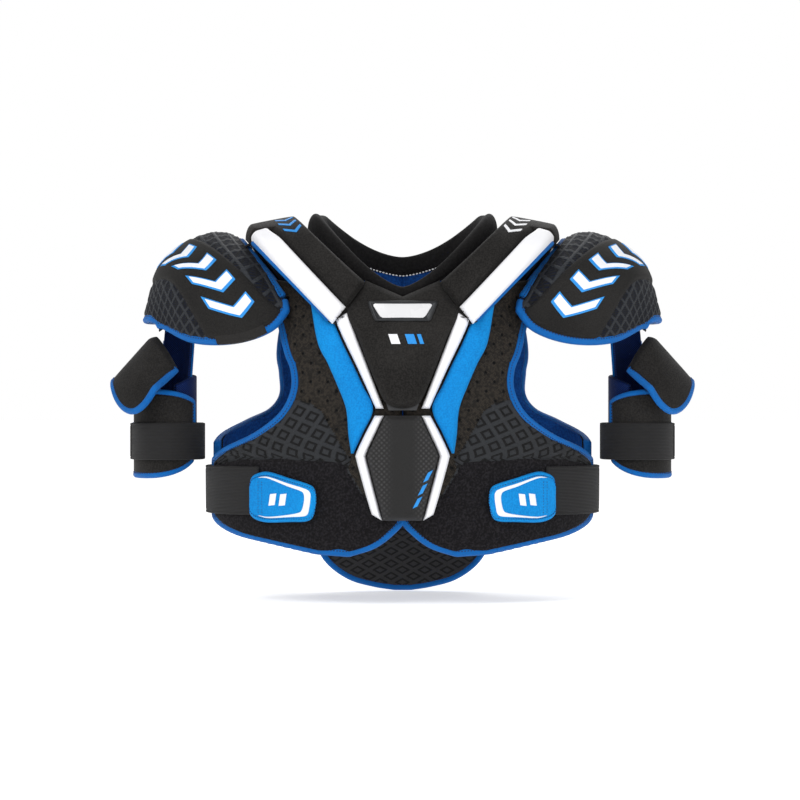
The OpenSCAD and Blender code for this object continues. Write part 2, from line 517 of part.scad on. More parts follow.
// Flap: the outer shield, a tongue that hangs below the cap's rim and leans outwards over the cuff
flap_span = [-88, 62];
flap_r = [cuff_r + 2, band_r + strap_t + 6];
flap_shift = [-10, 6];
function flap_upper(u) = -flap_top - 34 * pow(2 * u - 1, 2);
function flap_lower(u) = -flap_top - flap_l + 34 * pow(abs(u - 0.3) / 0.7, 2.2);
module bicep_flap() color(BLACK)
    arm_wall(flap_span, 12, 7, function(u) flap_upper(u), function(u) flap_lower(u), flap_r, guard_t, flap_shift);
function flap_edge(u, t) = arm_point(lerp(flap_span[0], flap_span[1], u), lerp(flap_upper(u), flap_lower(u), t),
    lerp(flap_r[0], flap_r[1], t) + guard_t / 2, lerp(flap_shift[0], flap_shift[1], t));
module flap_binding() color(BLUE)
    tube(concat([for (t = [0.1:0.15:0.99]) flap_edge(0, t)], [for (u = [0:0.083:1.001]) flap_edge(u, 1)],
        [for (t = [0.99:-0.15:0.1]) flap_edge(1, t)]), bind_d - 1, [arm_x, 0, -flap_top]);

// ---------------------------------------------------------------- assembly
front_liner();
back_liner();
spine_pad();
spine_blocks();
arch_plates();
collar();
sternum_upper();
sternum_upper_trim();
sternum_plate();
badge_frame();
badge_plate();
sternum_lower();
sternum_lower_trim();
tail_flap();
tail_binding();
for (s = SIDES) mirror([s == "right" ? 1 : 0, 0, 0]) {
    front_panel();
    front_binding();
    back_panel();
    back_binding();
    arch_pad();
    arch_stripe();
    chest_wing();
    rib_strap_anchor();
    rib_strap_end();
    rib_tab();
    cap_cover();
    cap_plate();
    cap_binding();
    cap_webbing();
    bicep_sling();
    bicep_flap();
    flap_binding();
    bicep_cuff();
    cuff_binding();
    cuff_liner();
    bicep_band();
    bicep_tab();
}
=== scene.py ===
import math

import bmesh
import bpy
import numpy as np
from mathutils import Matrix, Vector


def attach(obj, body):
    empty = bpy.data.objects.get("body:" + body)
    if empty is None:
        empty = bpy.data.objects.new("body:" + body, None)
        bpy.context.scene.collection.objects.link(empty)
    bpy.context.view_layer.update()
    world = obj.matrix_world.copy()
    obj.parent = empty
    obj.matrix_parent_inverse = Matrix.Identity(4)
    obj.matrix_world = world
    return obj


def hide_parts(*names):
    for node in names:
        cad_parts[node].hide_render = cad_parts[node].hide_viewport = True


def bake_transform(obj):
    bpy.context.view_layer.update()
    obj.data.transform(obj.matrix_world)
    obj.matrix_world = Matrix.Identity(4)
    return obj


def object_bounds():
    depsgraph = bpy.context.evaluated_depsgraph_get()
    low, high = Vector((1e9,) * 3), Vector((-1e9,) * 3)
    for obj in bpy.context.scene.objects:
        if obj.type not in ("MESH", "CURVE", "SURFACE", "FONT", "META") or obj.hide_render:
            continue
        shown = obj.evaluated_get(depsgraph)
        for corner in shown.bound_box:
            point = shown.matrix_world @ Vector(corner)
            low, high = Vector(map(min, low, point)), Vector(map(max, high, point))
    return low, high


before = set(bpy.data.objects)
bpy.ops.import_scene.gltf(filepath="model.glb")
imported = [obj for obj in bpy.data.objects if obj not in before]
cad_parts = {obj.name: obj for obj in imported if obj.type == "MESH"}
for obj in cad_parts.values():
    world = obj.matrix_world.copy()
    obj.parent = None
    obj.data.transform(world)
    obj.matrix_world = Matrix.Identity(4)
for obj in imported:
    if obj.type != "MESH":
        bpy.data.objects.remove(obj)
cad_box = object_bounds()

# ------------------------------------------------------------------ inner lining
# Navy tricot glued to the inside of all four vest panels, quilted lightly by the foam behind it.
# It is what shows through the neck and the arm holes. Lengths are millimetres until a mesh is made.
RIB_W, CHEST_W, CHEST_D, BACK_D = 216, 176, 132, 124
HEM, ARMHOLE_Z, ARMHOLE_X, NECK = 373, 177, 125, 80
LINING, GAP, FOAM = 2, 0.8, 12
PANEL_LOW = LINING + GAP
PANEL_TOP = PANEL_LOW + FOAM
GUARD_LOW = PANEL_TOP + GAP


def curve(points, t):
    """Smooth curve through every point at t from 0 to 1: cubic spans whose slope at a point is half the
    difference between its two neighbours."""
    p = np.asarray(points, float)
    p = np.vstack([2 * p[0] - p[1], p, 2 * p[-1] - p[-2]])
    t = np.asarray(t, float) * (len(p) - 3)
    k = np.clip(t.astype(int), 0, len(p) - 4)
    f = (t - k)[..., None]
    a, b, c, d = p[k], p[k + 1], p[k + 2], p[k + 3]
    return b + f / 2 * (c - a + f * (2 * a - 5 * b + 4 * c - d + f * (3 * (b - c) + d - a)))


def torso_width(z):
    """Half width at height z: the chest's, easing to the ribs' below the arm hole by 3t^2 - 2t^3."""
    t = np.clip((-z - ARMHOLE_Z + 30) / 100, 0, 1)
    return CHEST_W + (RIB_W - CHEST_W) * t * t * (3 - 2 * t)


def torso(a, z, off):
    """Point on the wearer's torso grown by off: at each height a half ellipse in front and another behind,
    a being the angle from the breastbone round to the spine."""
    f, r = z + 220, z + 160
    front = CHEST_D - np.where(f > 0, 0.0014, 0.0003) * f * f
    rear = BACK_D - np.where(r > 0, 0.0018, 0.0002) * r * r
    return np.stack([(torso_width(z) + off) * np.sin(a),
                     -(np.where(a < np.pi / 2, front, rear) + off) * np.cos(a), z + 0 * a], -1)


def torso_angle(x, z, off, rear):
    """The angle at which the front, or the back, reaches x at height z."""
    a = np.arcsin(np.clip(x / (torso_width(z) + off), -0.992, 0.992))
    return np.pi - a if rear else a


def between(edge_a, edge_b, rear=False):
    """A face of the torso between two edges of [x, z] points: t runs down the edges, u from a to b in equal
    angles, and the height lifts it off the body."""
    def face(t, u, off):
        a, b = curve(edge_a, t), curve(edge_b, t)
        angle_a = torso_angle(a[..., 0], a[..., 1], off, rear)
        angle_b = torso_angle(b[..., 0], b[..., 1], off, rear)
        return torso(angle_a + (angle_b - angle_a) * u, a[..., 1] + (b[..., 1] - a[..., 1]) * u, off)
    return face


def spaced(n):
    """n + 1 steps from 0 to 1, closer together near both ends by a sine."""
    t = np.linspace(0, 1, n + 1)
    return t - 0.11 * np.sin(2 * np.pi * t)


def lengths(p, axis=0):
    """Distance along a grid's rows or columns, summed from the first point."""
    d = np.linalg.norm(np.diff(p, axis=axis), axis=-1)
    return np.concatenate([np.zeros_like(np.take(d, [0], axis)), np.cumsum(d, axis)], axis)


def cells(rows, cols, around=False):
    """Corner numbers of a grid's cells, wrapped round its columns for a tube."""
    a = np.arange(rows * cols).reshape(rows, cols)
    a = np.hstack([a, a[:, :1]]) if around else a
    return np.stack([a[:-1, :-1], a[1:, :-1], a[1:, 1:], a[:-1, 1:]], -1).reshape(-1, 4)


def shell(outer, inner, cloth):
    """A closed solid of two grids of points, walled round their common border."""
    rows, cols = outer.shape[:2]
    n = rows * cols
    a = np.arange(n).reshape(rows, cols)
    rim = np.concatenate([a[0], a[1:, -1], a[-1, -2::-1], a[-2:0:-1, 0]])
    wall = np.stack([rim, np.roll(rim, -1), np.roll(rim, -1) + n, rim + n], -1)
    faces = cells(rows, cols)
    return (np.concatenate([outer.reshape(-1, 3), inner.reshape(-1, 3)]),
            np.concatenate([faces, faces[:, ::-1] + n, wall]), np.tile(cloth.reshape(-1, 3), (2, 1)))


def mirrored(solid):
    return solid[0] * [-1, 1, 1], solid[1], solid[2]


def edge_gaps(over, down):
    """Millimetres from each point of a pad to its first side, its last side, its top and its foot."""
    return over, over[:, -1:] - over, down, down[-1:] - down


def pad_rim(over, down, soft):
    """0 on a pad's edges, rising over a quarter ellipse, soft wide, to 1 inside."""
    return np.prod([np.sqrt(1 - (1 - np.clip(d / soft, 0, 1)) ** 2) for d in edge_gaps(over, down)], 0)


def pad(face, rows, cols, low, high, soft=5, puff=0, relief=None, zone=None, wall=0):
    """A padded shell over face(t, u, height): from its rim it rises over a quarter ellipse, soft wide, to high,
    with a crown puff high in the middle and relief(points, cloth) added. Cloth is millimetres over and down."""
    t, u = np.meshgrid(spaced(rows), spaced(cols), indexing="ij")
    base = face(t, u, low)
    down, over = lengths(base, 0), lengths(base, 1)
    rim = pad_rim(over, down, soft)
    lift = high - low + puff * (1 - abs(2 * t - 1) ** 3) * (1 - abs(2 * u - 1) ** 3)
    cloth = np.stack([over, down, 0 * down], -1)
    if zone is not None:
        cloth[..., 2] = zone(base, cloth)
    if relief is not None:
        lift = lift + relief(base, cloth)
    return shell(face(t, u, low + wall + rim * (lift - wall)), base, cloth)


def piece(name, solids, finish, side=1):
    """One object of several solids, each (points in mm, faces, cloth coordinates): doubles are merged and faces
    turned outwards. Cloth is kept in metres, with a zone number as its third value."""
    start = np.cumsum([0] + [len(s[0]) for s in solids[:-1]])
    points = np.concatenate([s[0] for s in solids]) * [side, 1, 1] / 1000
    faces = np.concatenate([s[1] + k for s, k in zip(solids, start)])
    mesh = bpy.data.meshes.new(name)
    mesh.vertices.add(len(points))
    mesh.vertices.foreach_set("co", points.ravel())
    mesh.loops.add(faces.size)
    mesh.loops.foreach_set("vertex_index", faces.ravel())
    mesh.polygons.add(len(faces))
    mesh.polygons.foreach_set("loop_start", np.arange(0, faces.size, 4))
    mesh.update(calc_edges=True)
    cloth = mesh.attributes.new("cloth", "FLOAT_VECTOR", "POINT")
    cloth.data.foreach_set("vector", (np.concatenate([s[2] for s in solids]) * [0.001, 0.001, 1]).ravel())
    bm = bmesh.new()
    bm.from_mesh(mesh)
    bmesh.ops.remove_doubles(bm, verts=bm.verts, dist=2e-6)
    bmesh.ops.recalc_face_normals(bm, faces=bm.faces)
    bm.to_mesh(mesh)
    bm.free()
    mesh.shade_smooth()
    mesh.set_sharp_from_angle(angle=math.radians(50))
    mesh.materials.append(finish)
    obj = bpy.data.objects.new(name, mesh)
    bpy.context.scene.collection.objects.link(obj)
    return obj


def fit(obj, body, slot, *nodes, fill=None):
    """Sews a piece to the CAD body it moves with and hides the CAD nodes it stands for; slot and fill are not used."""
    if body:
        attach(obj, body)
    if nodes:
        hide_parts(*nodes)
    return obj


class Wire:
    """A socket of a material. Arithmetic on it adds Math nodes."""
    def __init__(self, finish, socket):
        self.finish, self.socket = finish, socket

    def math(self, operation, *values):
        return self.finish.node("Math", {"operation": operation}, dict(enumerate((self, *values))))

    def __add__(self, v): return self.math("ADD", v)
    def __mul__(self, v): return self.math("MULTIPLY", v)
    def __sub__(self, v): return self.math("SUBTRACT", v)
    def __truediv__(self, v): return self.math("DIVIDE", v)
    def __rsub__(self, v): return self.finish.node("Math", {"operation": "SUBTRACT"}, {0: v, 1: self})
    def __abs__(self): return self.math("ABSOLUTE")
    __radd__, __rmul__ = __add__, __mul__

    def over(self, low, high):
        """0 below low and 1 above high, smooth between; falls instead where high is the smaller."""
        lo, hi, a, b = (low, high, 0, 1) if low < high else (high, low, 1, 0)
        return self.finish.node("MapRange", {"interpolation_type": "SMOOTHSTEP"},
                                {0: self, 1: lo, 2: hi, 3: a, 4: b})


class Finish:
    """A procedural material that is built one node at a time."""
    def __init__(self, name):
        self.material = bpy.data.materials.new(name)
        self.material.use_nodes = True
        self.tree = self.material.node_tree
        self.tree.nodes.clear()

    def node(self, kind, settings=None, sockets=None, out=0):
        n = self.tree.nodes.new("ShaderNode" + kind)
        for key, value in (settings or {}).items():
            setattr(n, key, value)
        for key, value in (sockets or {}).items():
            if isinstance(value, Wire):
                self.tree.links.new(value.socket, n.inputs[key])
            else:
                n.inputs[key].default_value = (*value, 1) if isinstance(value, tuple) and len(value) == 3 \
                    and n.inputs[key].type == "RGBA" else value
        return Wire(self, n.outputs[out] if n.outputs else None)

    def cloth(self):
        """Millimetres over and down the cloth, and its zone."""
        place = self.node("Attribute", {"attribute_name": "cloth"}, out=1)
        x, y, zone = (self.node("SeparateXYZ", sockets={0: place}, out=k) for k in range(3))
        return x * 1000, y * 1000, zone

    def object(self):
        return self.node("TexCoord", out=3)

    def place(self):
        """Millimetres across, back and up in the frame that all pieces share."""
        return [self.node("SeparateXYZ", sockets={0: self.object()}, out=k) * 1000 for k in range(3)]

    def noise(self, scale, detail=3):
        return self.node("TexNoise", sockets={"Vector": self.object(), "Scale": scale, "Detail": detail})

    def grains(self, scale, loose=1.0):
        """Distance to the nearest of many grains, scale of them in a metre."""
        return self.node("TexVoronoi", sockets={"Vector": self.object(), "Scale": scale, "Randomness": loose})

    def ribs(self, x, pitch):
        """Waves across x from -1 to 1, one every pitch."""
        return (x * (2 * math.pi / pitch)).math("SINE")

    def mix(self, share, a, b):
        return self.node("Mix", {"data_type": "RGBA"}, {0: share, 6: a, 7: b}, out=2)

    def done(self, colour, roughness, height=None, depth=0.0004, **fixed):
        """Joins the shader to the material: height is a bump's, depth metres high, fixed the other sockets."""
        sockets = {k.replace("_", " "): v for k, v in fixed.items()}
        sockets.update({"Base Color": colour, "Roughness": roughness})
        if height is not None:
            sockets["Normal"] = self.node("Bump", sockets={"Height": height, "Distance": depth})
        shader = self.node("BsdfPrincipled", sockets=sockets)
        self.node("OutputMaterial", sockets={"Surface": shader})
        return self.material


def ratio(x):
    """1 where a lattice coordinate is a whole number, falling to 0 midway between two."""
    return abs(x.math("FRACT") - 0.5) * 2 if isinstance(x, Wire) else abs(x - np.floor(x) - 0.5) * 2


def off_middle(a, b):
    """0 in the middle of a lattice's cell and 1 all round its border."""
    a, b = ratio(a), ratio(b)
    return a.math("MAXIMUM", b) if isinstance(a, Wire) else np.maximum(a, b)


def crossings(x, y, pitch):
    """Bias threads, pitch millimetres to a cell: 1 where they cross and 0 in the gaps."""
    return ratio((x + y) / pitch) * ratio((x - y) / pitch)


def knit(name, dark, light, grain=1000, sheen=0.06, rough=0.8):
    """Knitted cloth: rows of tiny stitches, darker between them, cloudy with wear at a larger scale."""
    f = Finish(name)
    stitch = f.grains(grain, 0.35)
    cloud = f.noise(14, 3)
    fine = f.noise(grain * 0.6, 2)
    share = cloud.over(0.3, 0.75) * 0.35 + fine.over(0.36, 0.64) * 0.5 + (1 - stitch) * 0.15
    return f.done(f.mix(share, dark, light), rough - 0.12 * cloud, (1 - stitch) + fine * 0.5, 0.0003,
                  Sheen_Weight=sheen, Sheen_Roughness=0.4, Specular_IOR_Level=0.16)


NAVY = knit("navy_tricot", (0.001, 0.028, 0.13), (0.003, 0.075, 0.32), 700, sheen=0.02)
front_inner = [[0.5, z] for z in (-76, -133, -164, -190, -215, -242, -262, -281, -307, -333)] \
    + [[14, -350], [34, -364.5], [62, -374]]
front_outer = [[153, -54], [136, -133], [126, -162], [126, -188], [140, -215], [171, -239], [212, -259],
               [229, -279], [229, -307], [223, -335], [196, -351], [151, -361], [96, -372]]
rear_inner = [[0, z] for z in (-36, -129, -163, -191, -211, -227, -249, -273, -307, -329, -339, -347)]
rear_outer = [[133, -36], [149, -129], [147, -163], [147, -191], [161, -211], [189, -225], [219, -243],
              [229, -269], [229, -305], [222, -333], [181, -347], [107, -355]]
front_face, rear_face = between(front_inner, front_outer), between(rear_inner, rear_outer, True)


def quilting(p, cloth):
    """Shallow dips along the seams of diamonds 50 mm from corner to corner."""
    x, z = cloth[..., 0] / 50, p[..., 2] / 50
    return -0.8 * sum(np.exp(-((1 - ratio(a)) / 0.05) ** 2) for a in (x + z, x - z))


def inside_out(face, rows, cols, low, high):
    """The same padded shell with its soft side towards the wearer."""
    return pad(lambda t, u, h: face(t, u, low + high - h), rows, cols, low, high, soft=3, relief=quilting)


for name, face, node in (("front_lining", front_face, "front_liner"), ("back_lining", rear_face, "back_liner")):
    half = inside_out(face, 70, 50, 0, LINING)
    fit(piece(name, [half, mirrored(half)], NAVY), "vest", "inner_lining", node, fill=0.2)

# ------------------------------------------------------------------ front and back panels
# Foam slabs under three fabrics: spacer mesh with punched holes by the guards, moulded diamonds towards the
# arm hole, and brushed loop cloth below for the rib tabs. The back is spacer mesh all over.
MESH_EDGE = [[43, -308], [65.5, -266.5], [72.4, -250.3], [83.4, -229.5], [94.5, -209.7], [106, -201], [122, -197],
             [160, -190]]
LOOP_EDGE = [[30, -318], [43.5, -308], [63, -274.7], [76, -269], [154, -265.5], [193.6, -267], [223, -277.6],
             [235, -283]]


def across(edge, p):
    """How far a point lies below an edge of [x, z] points, in height."""
    e = np.array(edge, float)
    return np.interp(abs(p[..., 0]), e[:, 0], e[:, 1]) - p[..., 2]


def step(x, width):
    """0 to 1 over width, by 3t^2 - 2t^3."""
    t = np.clip(x / width + 0.5, 0, 1)
    return t * t * (3 - 2 * t)


def front_zone(p, cloth):
    """0 on the spacer mesh, 1 on the diamonds, 2 on the loop cloth."""
    loop = step(across(LOOP_EDGE, p), 2)
    return step(across(MESH_EDGE, p), 2) * (1 - loop) + 2 * loop


def lattice(x, z):
    """Coordinates on the skewed lattice of the front panels' diamonds, one cell being 1 each way."""
    return x * 0.04672 + z * 0.03453, x * 0.0220 - z * 0.0562


def rings(a, b):
    """The moulded cell: a raised frame, a ring sunk inside it and a raised middle."""
    d = off_middle(a, b)
    return 1 - step(d - 0.42, 0.16) + step(d - 0.72, 0.14)


HOLES = 22


def holes(x, z):
    """Punched holes, 22 mm apart in rows 11 mm apart that are staggered: flat-bottomed dips 3.5 mm wide."""
    p, q = (x + z) / HOLES, (x - z) / HOLES
    d = np.hypot(p - np.round(p), q - np.round(q)) * HOLES / math.sqrt(2)
    return -1.8 * np.exp(-(d / 1.9) ** 4)


def front_relief(p, cloth):
    """Holes in the mesh, rings in the diamonds, the loop cloth's own thickness, and seams sunk between them."""
    zone = cloth[..., 2]
    diamond, loop = np.clip(1 - abs(zone - 1), 0, 1), np.clip(zone - 1, 0, 1)
    x, z = cloth[..., 0], p[..., 2]
    seams = sum(np.exp(-(across(edge, p) / 2.2) ** 2) for edge in (MESH_EDGE, LOOP_EDGE))
    return (holes(x, z) * (zone < 0.5) + diamond * 1.1 * rings(*lattice(x, z)) + 0.8 * loop
            - 1.4 * np.clip(seams, 0, 1))


f = Finish("panel_fabrics")
x, y, zone = f.cloth()
z = f.place()[2]
is_loop, is_mesh = zone.over(1.4, 1.6), zone.over(0.6, 0.4)
threads = crossings(x, z, 1.9)
near = sum(((place + 0.5).math("FRACT") - 0.5).math("POWER", 2) for place in ((x + z) / HOLES, (x - z) / HOLES))
open_hole = near.over(0.018, 0.012)
a, b = lattice(x, z)
d = off_middle(a, b)
# ring masks the sunk ring of each diamond cell: below it is used as painted shade in the colour and as a dip in the
# bump.
ring = d.over(0.34, 0.42) * d.over(0.74, 0.66)
weave = f.noise(900, 2)
ribbed = f.ribs(a + b * 0.2, 0.09)
fleck = 0.35 + 1.1 * f.noise(330, 2).over(0.4, 0.62)
mesh_colour = f.mix(threads.over(0.12, 0.45) * fleck, (0.002, 0.0018, 0.0016), (0.058, 0.046, 0.034))
mesh_colour = f.mix(open_hole, mesh_colour, (0.0015, 0.0015, 0.0015))
diamond_colour = f.mix(weave, (0.018, 0.0195, 0.022), (0.032, 0.034, 0.038))
# Painted shade: the sunk ring inside each diamond cell is darkened nearly to black to stand in for shade in that
# recess, which the bump and the relief also sink.
diamond_colour = f.mix(ring, diamond_colour, (0.0055, 0.0055, 0.006))
nap = f.noise(420, 4)
loop_colour = f.mix(nap.over(0.40, 0.68), (0.0035, 0.003, 0.0038), (0.0155, 0.014, 0.0165))
colour = f.mix(is_loop, f.mix(is_mesh, diamond_colour, mesh_colour), loop_colour)
diamond_height = ribbed * 0.35 - ring * 1.2 + weave * 0.5
height = is_mesh * (threads * 0.8 - open_hole * 2) + is_loop * nap * 2.4
height += (1 - is_mesh - is_loop) * diamond_height
PANEL = f.done(colour, 0.62 + is_loop * 0.33 + is_mesh * 0.1, height, 0.0005, Specular_IOR_Level=0.18,
               Sheen_Weight=0.03)

f = Finish("spacer_mesh")
x, y, zone = f.cloth()
threads = crossings(x, y, 2.1)
cloud = f.noise(12)
colour = f.mix(threads.over(0.1, 0.45), (0.003, 0.0028, 0.0027), (0.034, 0.031, 0.027))
SPACER = f.done(colour, 0.7 + 0.15 * cloud, threads + 0.4 * f.noise(600, 2), 0.0005, Sheen_Weight=0.03,
                Specular_IOR_Level=0.18)

SIDES = (("left", 1), ("right", -1))
for side, k in SIDES:
    panel = pad(front_face, 200, 150, PANEL_LOW, PANEL_TOP - 1, soft=9, puff=0.5, relief=front_relief,
                zone=front_zone)
    fit(piece(f"{side}_front_foam", [panel], PANEL, k), "vest", "spacer_mesh", f"front_panel_{side}", fill=0.5)
    panel = pad(rear_face, 130, 90, PANEL_LOW, PANEL_TOP - 0.5, soft=9, puff=0.5,
                relief=lambda p, cloth: holes(cloth[..., 0], p[..., 2]))
    fit(piece(f"{side}_back_foam", [panel], SPACER, k), "vest", "spacer_mesh", f"back_panel_{side}", fill=0.5)

# ------------------------------------------------------------------ edge binding
# Stretch tape folded over every raw edge and sewn through with one row of dark blue lockstitch. It is a roll
# with a lip that lies on the fabric, and the stitches sit in the crease between the two.
BIND = 9


def unit(v):
    """Vectors at length 1."""
    return v / np.maximum(np.linalg.norm(v, axis=-1, keepdims=True), 1e-9)


def even(path, gap, *more):
    """The path, and any values along it, at points an even distance apart."""
    s = lengths(path)
    at = np.linspace(0, s[-1], max(4, int(round(s[-1] / gap)) + 1))
    return [np.stack([np.interp(at, s, v[:, c]) for c in range(3)], -1) for v in (path, *more)]


def tape(path, out, wide=BIND / 2, lip=5.5, high=4.4):
    """A rolled edge along a path: an oval section that reaches wide outwards, lip inwards and high to each face,
    with a crease on both faces, rounded to a point at its ends. Gives the solid, and its crease with normals."""
    sides = 18
    path, out = even(path, 2.6, out)
    along = unit(np.gradient(path, axis=0))
    out = unit(out - (out * along).sum(-1, keepdims=True) * along)
    up = np.cross(along, out)
    a = np.linspace(0, 2 * np.pi, sides, endpoint=False)
    x = np.where(np.cos(a) > 0, wide, lip) * np.cos(a)
    y = np.sign(np.sin(a)) * (high * abs(np.sin(a)) ** 0.75 - 0.9 * np.exp(-((x + 2) / 1.1) ** 2))
    s = lengths(path)
    end = np.minimum(s, s[-1] - s) / wide
    size = np.sqrt(1 - (1 - np.clip(end, 0, 1)) ** 2)[:, None, None]
    ring = path[:, None] + size * (x[:, None] * out[:, None] + y[:, None] * up[:, None])
    cloth = np.stack(np.broadcast_arrays(s[:, None], x[None], 0 * x[None]), -1)
    solid = ring.reshape(-1, 3), cells(len(path), sides, True), cloth.reshape(-1, 3)
    return solid, (path - 2.2 * out, up, high * 0.82)


def stitches(path, normal, off=0.0, pitch=3.6, half=1.3, thick=0.6):
    """Spindles one pitch apart along a path, lying off above it: two rings of five points and two poles each."""
    path, normal = even(path, 0.8, normal)
    s = lengths(path)
    at = (np.arange(int(s[-1] / pitch)) + 0.5) * pitch
    middle, up, along = (np.stack([np.interp(at, s, v[:, c]) for c in range(3)], -1)
                         for v in (path, normal, np.gradient(path, axis=0)))
    up, along = unit(up), unit(along)
    side = np.cross(along, up)
    a = (np.arange(5) * 2 * np.pi / 5)[None, None, :, None]
    reach = (np.array([-1, -0.55, 0.55, 1]) * half)[None, :, None, None]
    girth = (np.array([0, 1, 1, 0]) * thick)[None, :, None, None]
    middle, along, side, up = (v[:, None, None] for v in (middle + off * up, along, side, up))
    ring = middle + reach * along + girth * (np.cos(a) * side + np.sin(a) * up)
    n = len(at)
    faces = (cells(4, 5, True)[None] + 20 * np.arange(n)[:, None, None]).reshape(-1, 4)
    return ring.reshape(-1, 3), faces, np.zeros((n * 20, 3))


def sewn(path, out, both=False, **size):
    """A tape and the stitches in its creases, the back one too where both faces are seen."""
    roll, (crease, up, high) = tape(path, out, **size)
    rows = [stitches(crease, up * k, high) for k in ((1, -1) if both else (1,))]
    return roll, rows


def rim_path(face, height, corners, n=60, inset=0.03):
    """A path round a face's rim through corners of (t, u), n points to a side, with the direction outwards at
    each point, taken from a smaller path that is inset by its share."""
    c = np.array(corners, float)
    tu = np.concatenate([np.linspace(c[k], c[k + 1], n, endpoint=k == len(c) - 2) for k in range(len(c) - 1)])
    inner = 0.5 + (tu - 0.5) * (1 - inset)
    edge = face(tu[:, 0], tu[:, 1], height)
    return edge, unit(edge - face(inner[:, 0], inner[:, 1], height))


f = Finish("stretch_tape")
x, y, zone = f.cloth()
warp = f.ribs(x, 0.9)
cloud = f.noise(30)
colour = f.mix(0.35 * warp + 0.35 + 0.5 * cloud, (0.0, 0.092, 0.36), (0.001, 0.175, 0.60))
TAPE = f.done(colour, 0.5 + 0.1 * cloud, warp + 0.4 * f.noise(800, 2), 0.00025, Sheen_Weight=0.02,
              Specular_IOR_Level=0.2)
f = Finish("blue_thread")
THREAD = f.done(f.mix(f.noise(700), (0.0005, 0.006, 0.05), (0.001, 0.014, 0.09)), 0.6, f.noise(1500), 0.0002)


def bind(name, rolls, rows, body, node, k=1, seam="_tape_seam"):
    """The tape on an edge and the lockstitch in it, as two pieces."""
    fit(piece(name + "_tape", rolls, TAPE, k), body, "blue_binding", node)
    fit(piece(name + seam, rows, THREAD, k), body, "blue_binding")


MID = (PANEL_LOW + PANEL_TOP) / 2
edge, out = rim_path(front_face, MID, [(0.05, 1), (1, 1), (1, 0), (0.66, 0)])
front_roll, front_rows = sewn(edge, out, lip=6, high=5)
edge, out = rim_path(rear_face, MID, [(0.06, 1), (0.999, 1)])
rear_roll, rear_rows = sewn(edge, out, True, lip=6, high=5)
for side, k in SIDES:
    bind(f"{side}_front", [front_roll], front_rows, "vest", f"front_binding_{side}", k)
    bind(f"{side}_back", [rear_roll], rear_rows, "vest", f"back_binding_{side}", k)

# ------------------------------------------------------------------ spine pad and tail
# A foam spine pad with four moulded blocks, and below it the tail flap: diamond moulded foam that hangs from
# the back on a soft upper seam and is bound in tape along its free edge.
BLACK = knit("black_knit", (0.0035, 0.0031, 0.0028), (0.0225, 0.0208, 0.0195), 950)
f = Finish("moulded_black")
cloud, pebble = f.noise(18), f.grains(1400)
MOULDED = f.done(f.mix(cloud, (0.010, 0.010, 0.011), (0.022, 0.022, 0.023)), 0.38 + 0.2 * f.noise(60, 4),
                 pebble, 0.0001, Coat_Weight=0.1, Coat_Roughness=0.3)
spine_edge = [[30, -64], [46, -128.75], [50, -193.5], [44, -258.25], [34, -323]]


def flip(edge):
    """The same edge on the other side of the spine."""
    return [[-x, z] for x, z in edge]


spine_face = between(flip(spine_edge), spine_edge, True)


def ladder(p, cloth):
    """Three cross grooves between the blocks."""
    return -3 * sum(np.exp(-((p[..., 2] + z) / 4) ** 2) for z in (128, 193, 258))


spine = pad(spine_face, 90, 40, GUARD_LOW, GUARD_LOW + 12, soft=8, puff=1, relief=ladder)
fit(piece("spine_foam", [spine], BLACK), "vest", "black_knit", "spine_pad", fill=0.6)
blocks = []
for k in range(4):
    edge = [curve(spine_edge, (k + 0.1 + 0.8 * t) / 4) - [15, 0] for t in (0, 1 / 3, 2 / 3, 1)]
    blocks.append(pad(between(flip(edge), edge, True), 24, 20, GUARD_LOW + 12.6, GUARD_LOW + 19, soft=5, puff=2,
                      relief=lambda p, cloth: -1.2 * np.exp(-(p[..., 0] / 3) ** 2)))  # groove down each block
fit(piece("spine_scales", blocks, MOULDED), "vest", "moulded_black", "spine_blocks")

tail_edge = [[103, -331], [104, -359], [101, -381], [87, -401], [63, -417], [35, -425], [10, -429]]
tail_face = between(flip(tail_edge), tail_edge, True)


def rhombs(x, z, wide, tall):
    """Coordinates on a lattice of upright rhombs of a width and a height, one cell being 1 each way."""
    return x / wide + z / tall, x / wide - z / tall


TAIL_CELL = 27.8, 15.4


def tail_relief(p, cloth):
    """Rhombic moulded cells, with two sewn folds."""
    a, b = rhombs(p[..., 0], p[..., 2], *TAIL_CELL)
    fold = sum(np.exp(-((p[..., 0] - s * (33 + 0.12 * (p[..., 2] + 400))) / 2) ** 2) for s in (-1, 1))
    return 1.1 * rings(a, b) - 1.5 * fold


f = Finish("tail_cells")
x, y, z = f.place()
a, b = rhombs(x, z, *TAIL_CELL)
d = off_middle(a, b)
ring = d.over(0.36, 0.44) * d.over(0.74, 0.66)
dots = ratio(a * 7) * ratio(b * 7)
weave = f.noise(800, 2)
colour = f.mix(weave, (0.022, 0.0215, 0.0215), (0.044, 0.043, 0.043))
# Painted shade: the sunk ring inside each rhombic cell is darkened nearly to black to stand in for shade in that
# recess, which the bump also sinks.
TAIL = f.done(f.mix(ring * 0.85, colour, (0.006, 0.0055, 0.0055)), 0.62, dots * 0.6 + weave * 0.5 - ring, 0.0005,
              Specular_IOR_Level=0.2)
tail = pad(tail_face, 90, 150, GUARD_LOW, GUARD_LOW + 8, soft=6, relief=tail_relief)
fit(piece("tail_foam", [tail], TAIL), None, "spacer_mesh", "tail_flap", fill=0.4)
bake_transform(bpy.data.objects["tail_foam"])
edge, out = rim_path(tail_face, GUARD_LOW + 4, [(0.3, 1), (1, 1), (1, 0), (0.3, 0)])
roll, rows = sewn(edge, out, True, high=4.6)
bind("tail", [roll], rows, "tail", "tail_binding")

# ------------------------------------------------------------------ sternum guard
# Two moulded foam guards under smooth knit, with padded white synthetic leather along both edges, bright blue
# wings sewn beside them, a chromed badge above and a floating lower guard.
GUARD_TOP = GUARD_LOW + 18


